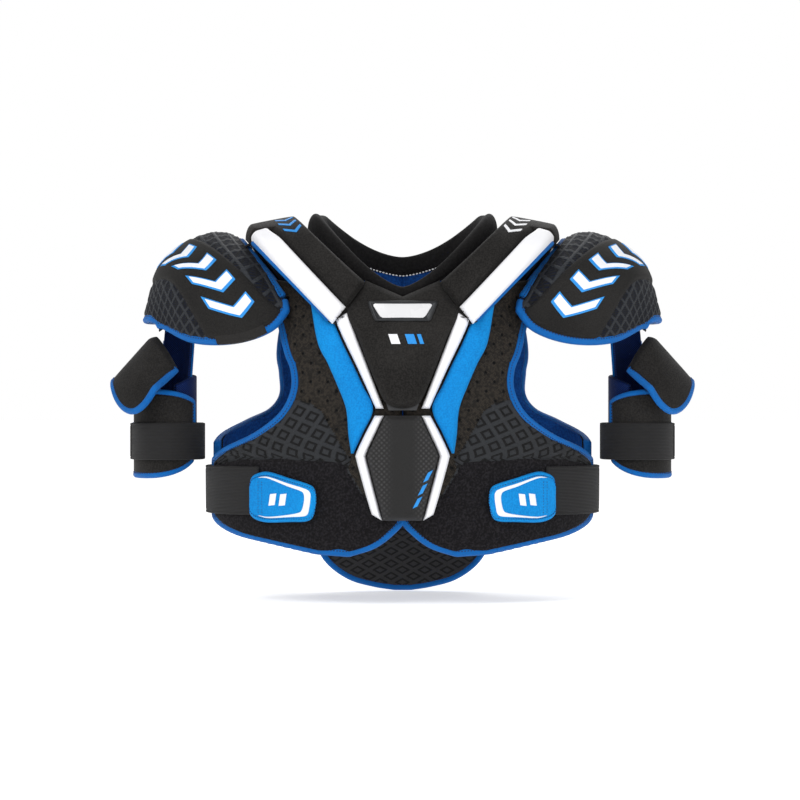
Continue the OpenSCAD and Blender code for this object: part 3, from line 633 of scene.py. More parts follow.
def guard_face(edge, drops, lift=0):
    """A symmetrical guard from its edge's [half width, z] points: the middle of a row hangs lower by drops,
    and its corners rise by lift towards the foot."""
    drops = np.array(drops, float)[:, None]
    def face(t, u, off):
        e, v = curve(edge, t), 2 * u - 1
        z = e[..., 1] - curve(drops, t)[..., 0] * (1 - abs(v)) + lift * t ** 5 * abs(v) ** 2.5
        return torso(torso_angle(v * e[..., 0], z, off, False), z, off)
    return face


f = Finish("white_leather")
crumple = f.noise(240, 4)
pebble = f.grains(1300)
WHITE = f.done(f.mix(f.noise(16, 3), (0.80, 0.80, 0.83), (0.88, 0.88, 0.90)), 0.42 + 0.1 * f.noise(40),
               pebble + crumple * 2, 0.00012, Specular_IOR_Level=0.4)
SKY = knit("bright_blue_knit", (0.0, 0.17, 0.50), (0.002, 0.28, 0.70), 900, sheen=0.02, rough=0.75)
upper_edge = [[39, -61], [51, -79]] + [[63 - 42 * t, -97 - 110 * t] for t in (0, 0.25, 0.5, 0.75, 1)]
upper_drops = [19, 10, 4, 0, 0, 0, 0]
upper_face = guard_face([[43, -58], [55, -78], [66, -99], *upper_edge[3:]], upper_drops, 8)


def upper_relief(p, cloth):
    """A sunk line in a U of 17.5 mm radius, inside the lower edge, that fades out above."""
    off_line = np.hypot(p[..., 0], np.clip(p[..., 2] + 180, None, 0)) - 17.5
    return -1.3 * np.exp(-(off_line / 1.8) ** 2) * step(-150 - p[..., 2], 30)


upper = pad(upper_face, 110, 80, GUARD_LOW + 2.8, GUARD_TOP - 3, soft=9, puff=3, relief=upper_relief)
fit(piece("sternum_foam", [upper], BLACK), "vest", "black_knit", "sternum_upper", fill=0.7)

lower_edge = [[21, -215], [31, -236.7], [41, -258.6], [41, -265.6], [36.5, -283.2], [32, -300.8], [27.5, -318.4],
              [23, -336]]
lower_face = guard_face(lower_edge, [0] * 8)


STIPPLE = 6


def stipple(p, cloth):
    """Small raised diamonds on a lattice, that fade towards the middle of the guard."""
    bump = np.clip(crossings(p[..., 0], p[..., 2], STIPPLE) * 1.6 - 0.5, 0, 1)
    return 0.7 * bump * step(abs(p[..., 0]) - 17, 16)


f = Finish("stippled_knit")
x, y, z = f.place()
dots = crossings(x, z, STIPPLE) * abs(x).over(9, 25)
weave = f.noise(900, 2)
colour = f.mix(weave, (0.009, 0.0088, 0.009), (0.022, 0.0215, 0.0215))
STIPPLED = f.done(f.mix(dots * 1.3, colour, (0.048, 0.047, 0.048)), 0.66, dots + weave * 0.4, 0.0004,
                  Sheen_Weight=0.05, Specular_IOR_Level=0.2)
lower = pad(lower_face, 110, 80, GUARD_LOW, GUARD_TOP - 3, soft=7, puff=1, relief=stipple)
fit(piece("lower_sternum_foam", [lower], STIPPLED), None, "black_knit", "sternum_lower", fill=0.7)
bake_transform(bpy.data.objects["lower_sternum_foam"])

trim_in = [[x + 0.5, z + (3 if k == 0 else 0)] for k, (x, z) in enumerate(upper_edge[2:])]
trim_out = [[x + 15 - 5.5 * k / 4, z - 10 * (1 - k / 4) ** 2] for k, (x, z) in enumerate(trim_in)]
low_in = [[x + 0.5, z] for x, z in lower_edge]
low_out = [[x + 12 - (1.5 if k == 0 else 0), z + 7 * (k / 7) ** 4] for k, (x, z) in enumerate(low_in)]
WING_W = 29
wing_in = [[x + 3, z + (2 if k == 0 else 0)] for k, (x, z) in enumerate(trim_out)]
wing_in += [[x + 3, z] for x, z in low_out[1:3]]
wing_out = [[x + WING_W * w, z + (20 if k == 0 else 0)] for k, ((x, z), w) in
            enumerate(zip(wing_in, (0.9, 1, 1, 1.02, 1.08, 0.55, 0.1)))]


def crease(p, cloth):
    """The wing folds along a line about two thirds of its width out: it rises to it and falls beyond."""
    u = cloth[..., 0] / np.maximum(cloth[:, -1:, 0], 1)
    return 3.5 * np.clip(np.minimum(u / 0.62, (1 - u) / 0.38), 0, 1)


trim = pad(between(trim_in, trim_out), 60, 12, GUARD_LOW, GUARD_TOP - 4.5, soft=4)
trim_low = pad(between(low_in, low_out), 80, 12, GUARD_LOW, GUARD_TOP - 4.5, soft=4)
wing = pad(between(wing_in, wing_out), 90, 30, GUARD_LOW, GUARD_LOW + 4.5, soft=4, relief=crease)
fit(piece("sternum_piping", [trim, mirrored(trim)], WHITE), "vest", "white_trim", "sternum_upper_trim", fill=0.7)
fit(piece("lower_sternum_piping", [trim_low, mirrored(trim_low)], WHITE), None, "white_trim", "sternum_lower_trim",
    fill=0.7)
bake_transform(bpy.data.objects["lower_sternum_piping"])
for side, k in SIDES:
    fit(piece(f"{side}_wing_foam", [wing], SKY, k), "vest", "bright_blue", f"chest_wing_{side}", fill=0.4)


def bar(x, z, lean, across, n=3):
    """A slanted bar: n points down its first edge, lean apart from [x, z], and the second edge across from it."""
    first = np.array([x, z]) + np.arange(n)[:, None] * lean
    return between(first, first + across)


# Three slanted bars on the upper guard, and a row of them climbing the lower one
bars = [[bar(x, -121, [2, -6], [w, 0]) for x, w in row] for row in (((-17, 11),), ((2, 11), (16, 5)))]
low_bars = [bar(x, z, [3, 6], [6, 3]) for x, z in ((11, -322), (17, -307), (23, -292))]


def ink(name, dark, light):
    """Rubbery print, a little uneven, with a fine grain from the cloth under it."""
    f = Finish(name)
    return f.done(f.mix(f.noise(200), dark, light), 0.5, f.grains(1200), 0.0001)


def printed(faces, low, high):
    """Thin crisp pads, one for each mark."""
    return [pad(face, 10, 10, low, high, soft=0.4) for face in faces]


PRINT_BLUE = ink("printed_blue", (0.0, 0.19, 0.60), (0.01, 0.30, 0.76))
PRINT_WHITE = ink("printed_white", (0.74, 0.75, 0.78), (0.88, 0.88, 0.90))
for name, faces, colour in (("sternum_bar_white", bars[0], PRINT_WHITE),
                            ("sternum_bars_blue", bars[1], PRINT_BLUE)):
    fit(piece(name, printed(faces, GUARD_TOP - 1.5, GUARD_TOP + 0.45), colour), "vest", "white_trim")
fit(piece("lower_sternum_bars", printed(low_bars, GUARD_TOP - 4, GUARD_TOP - 1.75), PRINT_BLUE), "sternum_guard",
    "bright_blue")

# Badge: a soft dark rim round a blank white plate, glued to the upper guard


def hard(name, dark, light, cloud, rough, worn, ripple, depth=0.0001, **fixed):
    """Moulded or metal: two shades in clouds, roughness rough to rough + worn[0], and a slight ripple. The scales
    cloud, worn[1] and ripple count features in a metre."""
    f = Finish(name)
    return f.done(f.mix(f.noise(cloud), dark, light), rough + worn[0] * f.noise(worn[1]), f.noise(ripple), depth,
                  **fixed)


RIM = hard("gunmetal_rim", (0.018, 0.019, 0.021), (0.045, 0.047, 0.05), 50, 0.30, (0.15, 90), 900, Metallic=0.7)
PLATE = hard("enamel_plate", (0.60, 0.60, 0.61), (0.74, 0.74, 0.75), 30, 0.22, (0.1, 70), 300, 0.00005,
             Coat_Weight=0.4, Coat_Roughness=0.1)


def badge_edge(s):
    """The badge's half outline as [half width, z], drawn in by s."""
    return [[38 - s, -82.5 - s * 0.5], [40.5 - s, -84.5 - s * 0.5], [37.5 - s, -93], [33 - s, -104 + s * 0.6],
            [29.5 - s, -106.5 + s * 0.6]]


badge_low = GUARD_TOP + 0.3


def rolled_rim(p, cloth):
    """A rounded bead 6 mm wide round the badge's edge."""
    d = np.min(edge_gaps(cloth[..., 0], cloth[..., 1]), 0)
    return 1.4 * np.exp(-((d - 3.2) / 2.0) ** 2) - 0.4


badge = pad(guard_face(badge_edge(0), [0] * 5), 50, 90, badge_low, badge_low + 1.6, soft=1.6, relief=rolled_rim)
plate = pad(guard_face(badge_edge(6.5), [0] * 5), 24, 60, badge_low + 1.2, badge_low + 2.3, soft=0.8, puff=0.5)
fit(piece("badge_bezel", [badge], RIM), "vest", "badge_rim", "badge_frame")
fit(piece("badge_blank", [plate], PLATE), "vest", "badge_face", "badge_plate")

# ------------------------------------------------------------------ arch pads
# A foam bridge over each shoulder that joins front and back. Black knit covers it, with a puffed white panel
# and blue piping along the arm side of its front half, and printed chevrons near the top.
ARCH_IN, ARCH_W = 124, 64
ARCH_ENDS = ((41.5, -61.5), (79.5, -111)), ((62, -82), (116, -108))  # [x, z] of both corners, in front and behind


def arch(s, w, off):
    """A point on an arch: s from the front end (-1) over the shoulder (0) to the back end (1), w from the neck
    to the arm. A superellipse of power 0.86 carries the foot up to the crest."""
    front, back = (np.array(ends[0]) + w[..., None] * np.subtract(ends[1], ends[0]) for ends in ARCH_ENDS)
    foot = np.where((s < 0)[..., None], front, back)
    x, z = foot[..., 0], foot[..., 1]
    up = np.clip(np.cos(np.pi / 2 * s), 0, 1) ** 0.86
    along = abs(np.sin(np.pi / 2 * s)) ** 0.86
    low = GUARD_LOW + off
    angle = np.where(s > 0, torso_angle(x, z, low, True), torso_angle(x, z, low, False))
    return np.stack([x + (ARCH_IN + ARCH_W * w - x) * up, torso(angle, z, low)[..., 1] * along,
                     z + (4 - 12 * w + off - z) * up], -1)


def panel_split(s):
    """Share of the arch's width where the white panel begins: 0.60, and none left past the shoulder's top."""
    return 0.60 + 0.06 * step(s + 0.40, 0.16) + 0.36 * step(s + 0.285, 0.03)


def black_part(t, u, off):
    """The arch from the neck's side to the split."""
    s = 2 * t - 1
    return arch(s, u * np.minimum(panel_split(s), 1), off)


def white_part(t, u, off):
    """The arch from the split to the arm's side, in the front's lower 70 hundredths."""
    s = -0.995 + 0.70 * t
    return arch(s, panel_split(s) + (1 - panel_split(s)) * u, off)


ARCH_LOW, ARCH_TOP = 2.8, 19.5
gusset = pad(between([[41, -63], [50, -78], [62, -98], [70, -112]], [[50, -60], [64, -75], [80, -95], [90, -107]]),
             40, 16, GUARD_LOW - 1, GUARD_LOW + 9, soft=4)
black = pad(black_part, 130, 40, ARCH_LOW, ARCH_TOP, soft=8, puff=1)
white = pad(white_part, 100, 24, ARCH_LOW + 6, ARCH_TOP + 2.6, soft=6.5, wall=5)
pipe_path, pipe_in = (white_part(np.linspace(0.02, 0.97, 80), np.full(80, w), ARCH_LOW + 5) for w in (1.0, 0.9))
piping = tape(pipe_path, pipe_path - pipe_in, wide=2.6, lip=3, high=3)[0]
foot = white_part(np.zeros(3), np.array([0.25, 0.5, 0.78]), ARCH_LOW + 13) + [0.5, -1, 2.5]
lip = between(trim_in, trim_out)(np.full(3, 0.03), np.array([0.5, 0.85, 0.2]), GUARD_TOP - 6.5) - [0, 1, 1.5]
lacing = []
for start, end in zip(foot, lip):
    long = np.linalg.norm(start - end)
    lacing.append(stitches(np.linspace(start, end, 8), np.tile([0.0, -1, 0.3], (8, 1)), 0.6, long * 0.98,
                           long * 0.6, 0.45))


def chevron(face, at, size, low, high, lean, soft=0.35):
    """A printed chevron on a face: a bar across it, size = (half length along t, half width along u), whose
    middle is pulled back by lean of its width."""
    def folded(t, u, off):
        q = 2 * u - 1
        return face(at[0] + (2 * t - 1) * size[0] + lean * size[1] * (abs(q) - 0.5), at[1] + q * size[1], off)
    return pad(folded, 5, 40, low, high, soft=soft)


top = ARCH_TOP + 0.9
prints = [chevron(lambda t, u, off: arch(2 * t - 1, 0.62 * u, off), (0.29 + 0.052 * n, 0.5), (0.009, 0.27), top - 1,
                  top + 0.5, 0.11) for n in range(3)]
marks = {"left": PRINT_WHITE, "right": PRINT_BLUE}
for side, k in SIDES:
    fit(piece(f"{side}_arch_foam", [black], BLACK, k), "vest", "black_knit", f"arch_pad_{side}", fill=0.8)
    fit(piece(f"{side}_arch_panel", [white], WHITE, k), "vest", "white_trim", f"arch_stripe_{side}", fill=0.8)
    fit(piece(f"{side}_arch_gusset", [gusset], BLACK, k), "vest", "black_knit")
    fit(piece(f"{side}_arch_threads", lacing, BLACK, k), "vest", "black_knit")
    fit(piece(f"{side}_arch_piping", [piping], TAPE, k), "vest", "blue_binding")
    fit(piece(f"{side}_arch_print", prints, marks[side], k), "vest", "white_trim")
INSERT = hard("insert_plate", (0.030, 0.031, 0.034), (0.060, 0.061, 0.065), 20, 0.35, (0.1, 60), 500)
for node in ("arch_plates", "sternum_plate"):
    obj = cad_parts[node]
    obj.data.materials.clear()
    obj.data.materials.append(INSERT)

# ------------------------------------------------------------------ collar
# A soft foam roll in brushed knit round the neck, deep at the sides and low at the throat, sewn to the lining
# at the back with white thread.
COLLAR_T = 15


def collar_ring(a, b, grow=0.0):
    """A point of the collar: a goes round the neck from the throat, b round the roll. The top rises as a power
    of |sin a| and the roll's height follows it."""
    x, front = abs(np.sin(a)), np.cos(a) > 0
    top = np.where(front, -64 + 93 * x ** 1.45, -19 + 48 * np.minimum(1, (x / 0.92) ** 1.7))
    tall = np.where(front, 17, 27) + np.where(front, 41, 31) * x ** 2.4
    r = (COLLAR_T / 2 + 4.5 * x ** 3 + grow) * np.cos(b)
    reach = ARCH_IN - 12 - COLLAR_T / 2
    up = np.sign(np.sin(b)) * abs(np.sin(b)) ** 0.8
    return np.stack([(reach + r) * np.sin(a), abs(np.cos(a)) * np.where(front, -110, 100) - r * np.cos(a),
                     top - tall / 2 + (tall / 2 + grow) * up], -1)


def swell(obj, cap):
    """Blows a pad up a little as its cover does: run as pressurised cloth without gravity, no point let
    further than cap from where it began."""
    mesh, frames = obj.data, 20
    rest = np.empty(len(mesh.vertices) * 3, np.float32)
    mesh.vertices.foreach_get("co", rest)
    cloth = obj.modifiers.new("air", "CLOTH")
    cloth.settings.use_pressure = True
    cloth.settings.uniform_pressure_force = 4.0
    cloth.settings.effector_weights.gravity = 0
    cloth.settings.quality = 4
    cloth.point_cache.frame_end = frames
    scene = bpy.context.scene
    for n in range(1, frames + 1):
        scene.frame_set(n)
    blown = obj.evaluated_get(bpy.context.evaluated_depsgraph_get()).to_mesh()
    moved = np.empty_like(rest)
    blown.vertices.foreach_get("co", moved)
    obj.modifiers.remove(cloth)
    grown = (moved - rest).reshape(-1, 3)
    far = np.maximum(np.linalg.norm(grown, axis=1, keepdims=True) / cap, 1)
    mesh.vertices.foreach_set("co", (rest.reshape(-1, 3) + grown / far).ravel())
    scene.frame_set(1)
    smooth = obj.modifiers.new("fine", "SUBSURF")
    smooth.levels = smooth.render_levels = 1
    with bpy.context.temp_override(object=obj, active_object=obj, selected_objects=[obj]):
        bpy.ops.object.modifier_apply(modifier=smooth.name)
    obj.data.shade_smooth()
    return obj


a, b = np.meshgrid(np.linspace(0, 2 * np.pi, 181), np.linspace(0, 2 * np.pi, 25)[:-1], indexing="ij")
ring = collar_ring(a, b, -1.5)
collar = (ring.reshape(-1, 3), cells(181, 24, True), 0 * ring.reshape(-1, 3))
FLEECE = knit("collar_fleece", (0.0025, 0.0022, 0.0024), (0.0095, 0.0088, 0.0090), 620, sheen=0.05, rough=0.9)
fit(swell(piece("collar_roll", [collar], FLEECE), cap=0.003), "vest", "black_knit", "collar", fill=0.8)
a = np.linspace(0.80 * np.pi, 1.20 * np.pi, 80)
seam_at = collar_ring(a, np.full(80, 1.32 * np.pi))
inward = unit(-seam_at * [1, 1, 0])
f = Finish("white_thread")
WHITE_THREAD = f.done(f.mix(f.noise(300), (0.6, 0.6, 0.62), (0.8, 0.8, 0.8)), 0.6)
fit(piece("collar_seam", [stitches(seam_at + inward * 3.6, inward, 0, 4.2, 1.5, 0.8)], WHITE_THREAD), "vest",
    "white_trim")

# ------------------------------------------------------------------ rib straps
# Ribbed elastic 57 mm wide, sewn to the back and run round the side. Its free end carries a blue hook tab with a
# white border that grips the front's loop cloth.
STRAP_LOW, STRAP_T, STRAP_W, STRAP_Z = PANEL_TOP + 2, 2.2, 57, -303
STRAP_BACK, STRAP_FRONT, TURN = 128, 46, 66  # degrees from the breastbone: both ends, and where it bends open


def strap_face(t, u, off):
    """Round the torso from the back seam (t 0) to under the tab (t 1), across the width with u, standing off the
    side by a half sine."""
    a = np.radians(STRAP_BACK + (STRAP_FRONT - STRAP_BACK) * t)
    slack = 1.4 * np.clip(np.sin(np.pi * np.clip((t - 0.05) / 0.62, 0, 1)), 0, 1) ** 1.5 * (1.15 - 0.4 * u)
    return torso(a, STRAP_Z + (STRAP_W - 2 * np.clip(t - 0.8, 0, 1)) * (0.5 - u), off + slack)


f = Finish("ribbed_elastic")
x, y, zone = f.cloth()
rib, pick = f.ribs(x, 1.7), f.ribs(y, 1.3)
cloud = f.noise(22)
colour = f.mix(0.3 + 0.25 * rib + 0.5 * cloud, (0.0085, 0.0083, 0.0085), (0.022, 0.0215, 0.022))
ELASTIC = f.done(colour, 0.66 + 0.1 * cloud, rib + 0.5 * pick, 0.0002, Sheen_Weight=0.04, Specular_IOR_Level=0.18)


def selvedge(p, cloth):
    """Shallow lines 3.5 mm inside both edges of the elastic."""
    return -0.5 * np.exp(-((np.minimum(cloth[..., 0], STRAP_W - cloth[..., 0]) - 3.5) / 0.8) ** 2)


def sewn_line(edges, at, deep, half):
    """A relief for pad: a sunk line, at millimetres from its edges of those numbers in edge_gaps' order."""
    def line(p, cloth):
        gaps = edge_gaps(cloth[..., 0], cloth[..., 1])
        return -deep * np.exp(-((np.min([gaps[k] for k in edges], 0) - at) / half) ** 2)
    return line


strap = pad(strap_face, 120, 36, STRAP_LOW, STRAP_LOW + STRAP_T, soft=1.2, relief=selvedge)
tab_top = [[179, -297], [176, -287], [168, -282], [155, -280.5], [131, -287.5], [108, -294.5], [101.5, -300],
           [99.5, -308]]
tab_foot = [[179, -322], [178, -330.5], [171, -336.5], [157, -339.5], [132, -338.5], [111, -337.3], [103, -331],
            [99.5, -316]]
tab_face = between(tab_top, tab_foot)
TAB_LOW = STRAP_LOW + 0.3
tab = pad(tab_face, 90, 60, TAB_LOW, TAB_LOW + 4.6, soft=2.6, puff=0.5, relief=sewn_line((0, 1, 3), 4.6, 0.7, 0.8))
c_out = [[169, -287], [156, -286], [132, -293.5], [112, -299.5], [106.5, -304], [106, -311], [107.5, -322],
         [109.5, -329], [115, -331.7], [133, -332.8], [156, -334.2], [169, -331.5]]
c_in = [[167, -287.4], [156, -288.3], [133, -297.2], [118, -302.3], [114.5, -306], [114, -312], [115.2, -319],
        [116.8, -324], [120, -327], [133, -329.8], [155, -332.4], [167, -331.2]]
tab_c = pad(between(c_out, c_in), 90, 8, TAB_LOW + 4.0, TAB_LOW + 5.9, soft=1.2)
tab_rim = tab_face(np.concatenate([np.linspace(0.02, 0.98, 60), np.linspace(0.98, 0.02, 60)]),
                   np.concatenate([np.full(60, 0.075), np.full(60, 0.925)]), TAB_LOW + 4.7)
tab_out = unit(tab_rim - tab_face(0.5, 0.5, TAB_LOW - 300.0))
tab_bars = [pad(bar(x, -305, [1, -7], [8, -1]), 12, 8, TAB_LOW + 4.4, TAB_LOW + 5.9, soft=0.8) for x in (134, 146)]
tab_seams = [stitches(tab_rim, tab_out, 0.1, 3.2, 1.05, 0.4)]
seam_z = np.linspace(-291, -331, 30)
for x in (163.5, 168):
    line = torso(torso_angle(x + 0 * seam_z, seam_z, TAB_LOW + 4.8, False), seam_z, TAB_LOW + 4.8)
    tab_seams.append(stitches(line, unit(line * [1, 1, 0]), 0.1, 3.2, 1.05, 0.4))
hinge = torso(math.radians(TURN), np.float64(STRAP_Z), STRAP_LOW) / 1000
for side, k in SIDES:
    body = f"{side}_rib_strap"
    obj = fit(piece(f"{side}_rib_elastic", [strap], ELASTIC, k), None, "elastic", f"rib_strap_anchor_{side}",
              f"rib_strap_end_{side}")
    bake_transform(obj)
    fit(piece(f"{side}_rib_hook_tab", [tab], SKY, k), body, "bright_blue", f"rib_tab_{side}", fill=0.3)
    fit(piece(f"{side}_rib_tab_border", [tab_c, *tab_bars], PRINT_WHITE, k), body, "white_trim")
    fit(piece(f"{side}_rib_tab_seams", tab_seams, THREAD, k), body, "blue_binding")

# ------------------------------------------------------------------ shoulder caps
# A dome of foam over a moulded plate: a smooth knit band runs down the middle between two panels of moulded mesh,
# bound all round in tape, lined inside, and hung from the arch pad by webbing.
CAP_T, CAP_D, CAP_H, DOME = 12, 208, 125, 120
HINGE = np.array([192.2, 0, -1.5])
ARM_X = 282.5
REACH = ARM_X + 30 - HINGE[0]
INNER_SHARE, OUTER_SHARE = 0.48, 0.8
# The net's points as shares of the dome's width outwards, half its depth and its height, from front hem to top
hem_row = [[-0.48, 1.00, -0.66], [-0.31, 1.06, -0.88], [0.05, 1.00, -1.00], [0.48, 0.76, -0.99], [0.82, 0.40, -0.84]]
face_row = [[-0.28, 0.68, -0.33], [-0.06, 0.87, -0.32], [0.27, 0.85, -0.33], [0.66, 0.61, -0.43], [0.93, 0.26, -0.78]]
top_row = [[0, 0, 0], [0.24, 0, 0.06], [0.54, 0, -0.03], [0.84, 0, -0.29], [1, 0, -0.78]]
net = np.array([hem_row, face_row, top_row, face_row, hem_row])
net[:2, :, 1] *= -1
net[4, :, 2] *= 0.9
share = net[..., 0]
net[..., 0] = np.where(share < 0, share / INNER_SHARE * (HINGE[0] - ARMHOLE_X - 9.5),
                       share * DOME + (REACH - DOME) * np.minimum(share / OUTER_SHARE, 1))
net = net * [1, CAP_D / 2, CAP_H] + HINGE
CORE = HINGE + [0.4 * REACH, 0, -0.75 * CAP_H]


def net_point(u, v):
    """The cap's smooth surface: a row of the net is a curve across v, and those five points a curve along u."""
    return np.einsum("...i,...j,ijk->...k", curve(np.eye(5), u), curve(np.eye(5), v), net)


def cap_face(u, v, off):
    """Off millimetres outside the cap's inner side, along the surface's normal, which two steps of e each way
    give."""
    e = 0.01
    du = net_point(np.minimum(u + e, 1), v) - net_point(np.maximum(u - e, 0), v)
    dv = net_point(u, np.minimum(v + e, 1)) - net_point(u, np.maximum(v - e, 0))
    p = net_point(u, v)
    n = unit(np.cross(du, dv))
    n = n * np.sign((n * (p - CORE)).sum(-1, keepdims=True))
    return p + np.expand_dims(off - CAP_T, -1) * n


def band_edges(u):
    """Where the middle band's two seams lie across the cap: they swing towards the neck at both hems."""
    h = abs(2 * u - 1)
    return 0.47 - 0.40 * h ** 1.3, 0.84 - 0.20 * h ** 1.5


def cap_lattice(p):
    """Millimetres across and up a map of the dome's front: the angle from its middle direction, seen from the
    core, times 68 mm. The back has the front's mirror image."""
    d = unit(p - CORE)
    d = np.stack([d[..., 0], -abs(d[..., 1]), d[..., 2]], -1)
    out = unit(np.array([0.35, -0.8, 0.45]))
    level = unit(np.cross([0, 0, 1], out))
    angle = np.arccos(np.clip(d @ out, -1, 1))
    grow = 68 * angle / np.maximum(np.sin(angle), 1e-6)
    return grow * (d @ level), grow * (d @ np.cross(out, level))


CAP_CELL = 13, 19


def cap_pad(rows, cols):
    """The cap's cover as a pad, with the band raised between sunk seams and ridged rhombic cells beside it."""
    u, v = np.meshgrid(spaced(rows), spaced(cols), indexing="ij")
    base = cap_face(u, v, 0.0)
    down, over = lengths(base, 0), lengths(base, 1)
    near, far = band_edges(u)
    wide = over[:, -1:]
    in_near, in_far = (v - near) * wide, (far - v) * wide
    band = step(in_near, 3) * step(in_far, 3)
    seams = np.exp(-(in_near / 2.2) ** 2) + np.exp(-(in_far / 2.2) ** 2)
    x, z = cap_lattice(base)
    ridge = step(off_middle(*rhombs(x, z, *CAP_CELL)) - 0.80, 0.16)
    lift = CAP_T - 1.5 + 1.8 * band - 1.8 * seams + 0.9 * (1 - band) * ridge
    return shell(cap_face(u, v, 3 + pad_rim(over, down, 9) * (lift - 3)), base, np.stack([x, z, band], -1))


f = Finish("cap_fabrics")
x, y, zone = f.cloth()
ridge = off_middle(*rhombs(x, y, *CAP_CELL)).over(0.70, 0.84)
slots = f.ribs(y, 2.4).over(0.1, 0.7) * f.ribs(x, 5.0).over(-0.9, -0.5)
weave = f.noise(950, 2)
cloud = f.noise(11)
smooth = f.mix(cloud.over(0.3, 0.75) * 0.45 + weave.over(0.36, 0.64) * 0.55, (0.003, 0.0027, 0.0025),
               (0.018, 0.0168, 0.0158))
cell = f.mix(slots, (0.0065, 0.007, 0.0085), (0.001, 0.0035, 0.015))
net_colour = f.mix(ridge, cell, (0.024, 0.027, 0.032))
CAP = f.done(f.mix(zone.over(0.4, 0.6), net_colour, smooth), 0.72 - 0.2 * ridge * (1 - zone),
             weave * 0.6 + (1 - zone) * (ridge - slots), 0.0005, Sheen_Weight=0.04, Specular_IOR_Level=0.18)
cover = cap_pad(150, 110)
cap_lining = pad(lambda t, u, off: cap_face(0.07 + 0.86 * t, 0.07 + 0.86 * u, -off), 60, 50, 0.8, 4.3, soft=4)


# The path of the tape round the cap's rim, cut short at its corners
cut = 0.05
corners = np.stack([[cut, 0.985, 1, 1, 0.985, 0.015, 0, 0, cut], [0, 0, cut, 1 - cut, 1, 1, 1 - cut, cut, 0]], -1)
loop = [np.linspace(a, b, 40, endpoint=False) for a, b in zip(corners, corners[1:])]
loop = np.concatenate([*loop, corners[-1:]])
edge = cap_face(loop[:, 0], loop[:, 1], 5.5)
inner = cap_face(0.5 + (loop[:, 0] - 0.5) * 0.95, 0.5 + (loop[:, 1] - 0.5) * 0.95, 5.5)
cap_roll, cap_rows = sewn(edge, edge - inner, lip=6, high=5.2, wide=5)


def band_at(t, u, off):
    """On the middle band: t along it as on the cap, u from one seam to the other."""
    near, far = band_edges(t)
    return cap_face(t, near + (far - near) * u, off)


blue_marks, white_marks = [], []
for t in (0.105, 0.195, 0.285, 0.375, 0.465):
    blue_marks.append(chevron(band_at, (t, 0.5), (0.0245, 0.29), CAP_T - 0.8, CAP_T + 0.75, 0.15, 0.3))
    white_marks.append(chevron(band_at, (t, 0.5), (0.0165, 0.26), CAP_T - 0.6, CAP_T + 1.2, 0.15, 0.3))
label = pad(lambda t, u, off: cap_face(-0.014 + 0.052 * t, 0.28 + 0.32 * u, off), 16, 50, CAP_T - 6, CAP_T - 0.1,
            soft=1.5)
LABEL = knit("woven_label", (0.012, 0.011, 0.011), (0.022, 0.021, 0.020), 1400, sheen=0.1)
webbing_x = [[150, -4], [168, -7], [184, -12], [192, -17.5], [206, -18.5], [226, -16.5]]


def webbing_face(t, u, off):
    """From under the arch to the cap's lining, 80 mm wide."""
    c = curve(webbing_x, t)
    return np.stack([c[..., 0], 80 * (u - 0.5), c[..., 1] + off + 0 * u], -1)


webbing = pad(webbing_face, 40, 24, -2.2, 0, soft=1)
for side, k in SIDES:
    body = f"{side}_cap"
    fit(piece(f"{side}_cap_foam", [cover], CAP, k), body, "black_knit", f"cap_cover_{side}", fill=0.8)
    fit(piece(f"{side}_cap_lining", [cap_lining], NAVY, k), body, "inner_lining", f"cap_plate_{side}", fill=0.3)
    bind(f"{side}_cap", [cap_roll], cap_rows, body, f"cap_binding_{side}", k)
    fit(piece(f"{side}_cap_print_blue", blue_marks, PRINT_BLUE, k), body, "bright_blue")
    fit(piece(f"{side}_cap_print_white", white_marks, PRINT_WHITE, k), body, "white_trim")
    obj = fit(piece(f"{side}_cap_hanger", [webbing], ELASTIC, k), None, "elastic", f"cap_webbing_{side}")
    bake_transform(obj)
fit(piece("right_cap_label", [label], LABEL, -1), "right_cap", "black_knit")

# ------------------------------------------------------------------ slings, flaps and cuffs
# A lined sling hangs inside each cap and carries the cuff. A foam flap hangs in front of it as the outer
# shield, and the cuff is a foam wrap closed by an elastic band with a hook tab.
OVAL, BODY_SIDE, LINER_R, WRAP_R, GUARD_T = 1.35, 1.06, 28, 33, 7
BAND_R = WRAP_R + GUARD_T + 0.8
FLAP_TOP, CUFF_TOP, CUFF_FOOT, BAND_Z, BAND_W = 118, 188, 286, -246, 44


def arm(a, z, r, shift):
    """A point round the arm: an oval deeper than wide, and fuller towards the body, a being degrees from straight
    outwards, with the front at -90."""
    a = np.radians(a)
    body = np.where(np.cos(a) < 0, BODY_SIDE, 1)
    return np.stack(np.broadcast_arrays(ARM_X + shift + r * body * np.cos(a), r * OVAL * np.sin(a), z), -1)


def arm_wall(span, top, foot, r, shift):
    """A wall round the arm between two heights given across it, its radius and place changing downwards."""
    def face(t, u, off):
        return arm(span[0] + (span[1] - span[0]) * u, top(u) + (foot(u) - top(u)) * t,
                   r[0] + (r[1] - r[0]) * t + off, shift[0] + (shift[1] - shift[0]) * t)
    return face


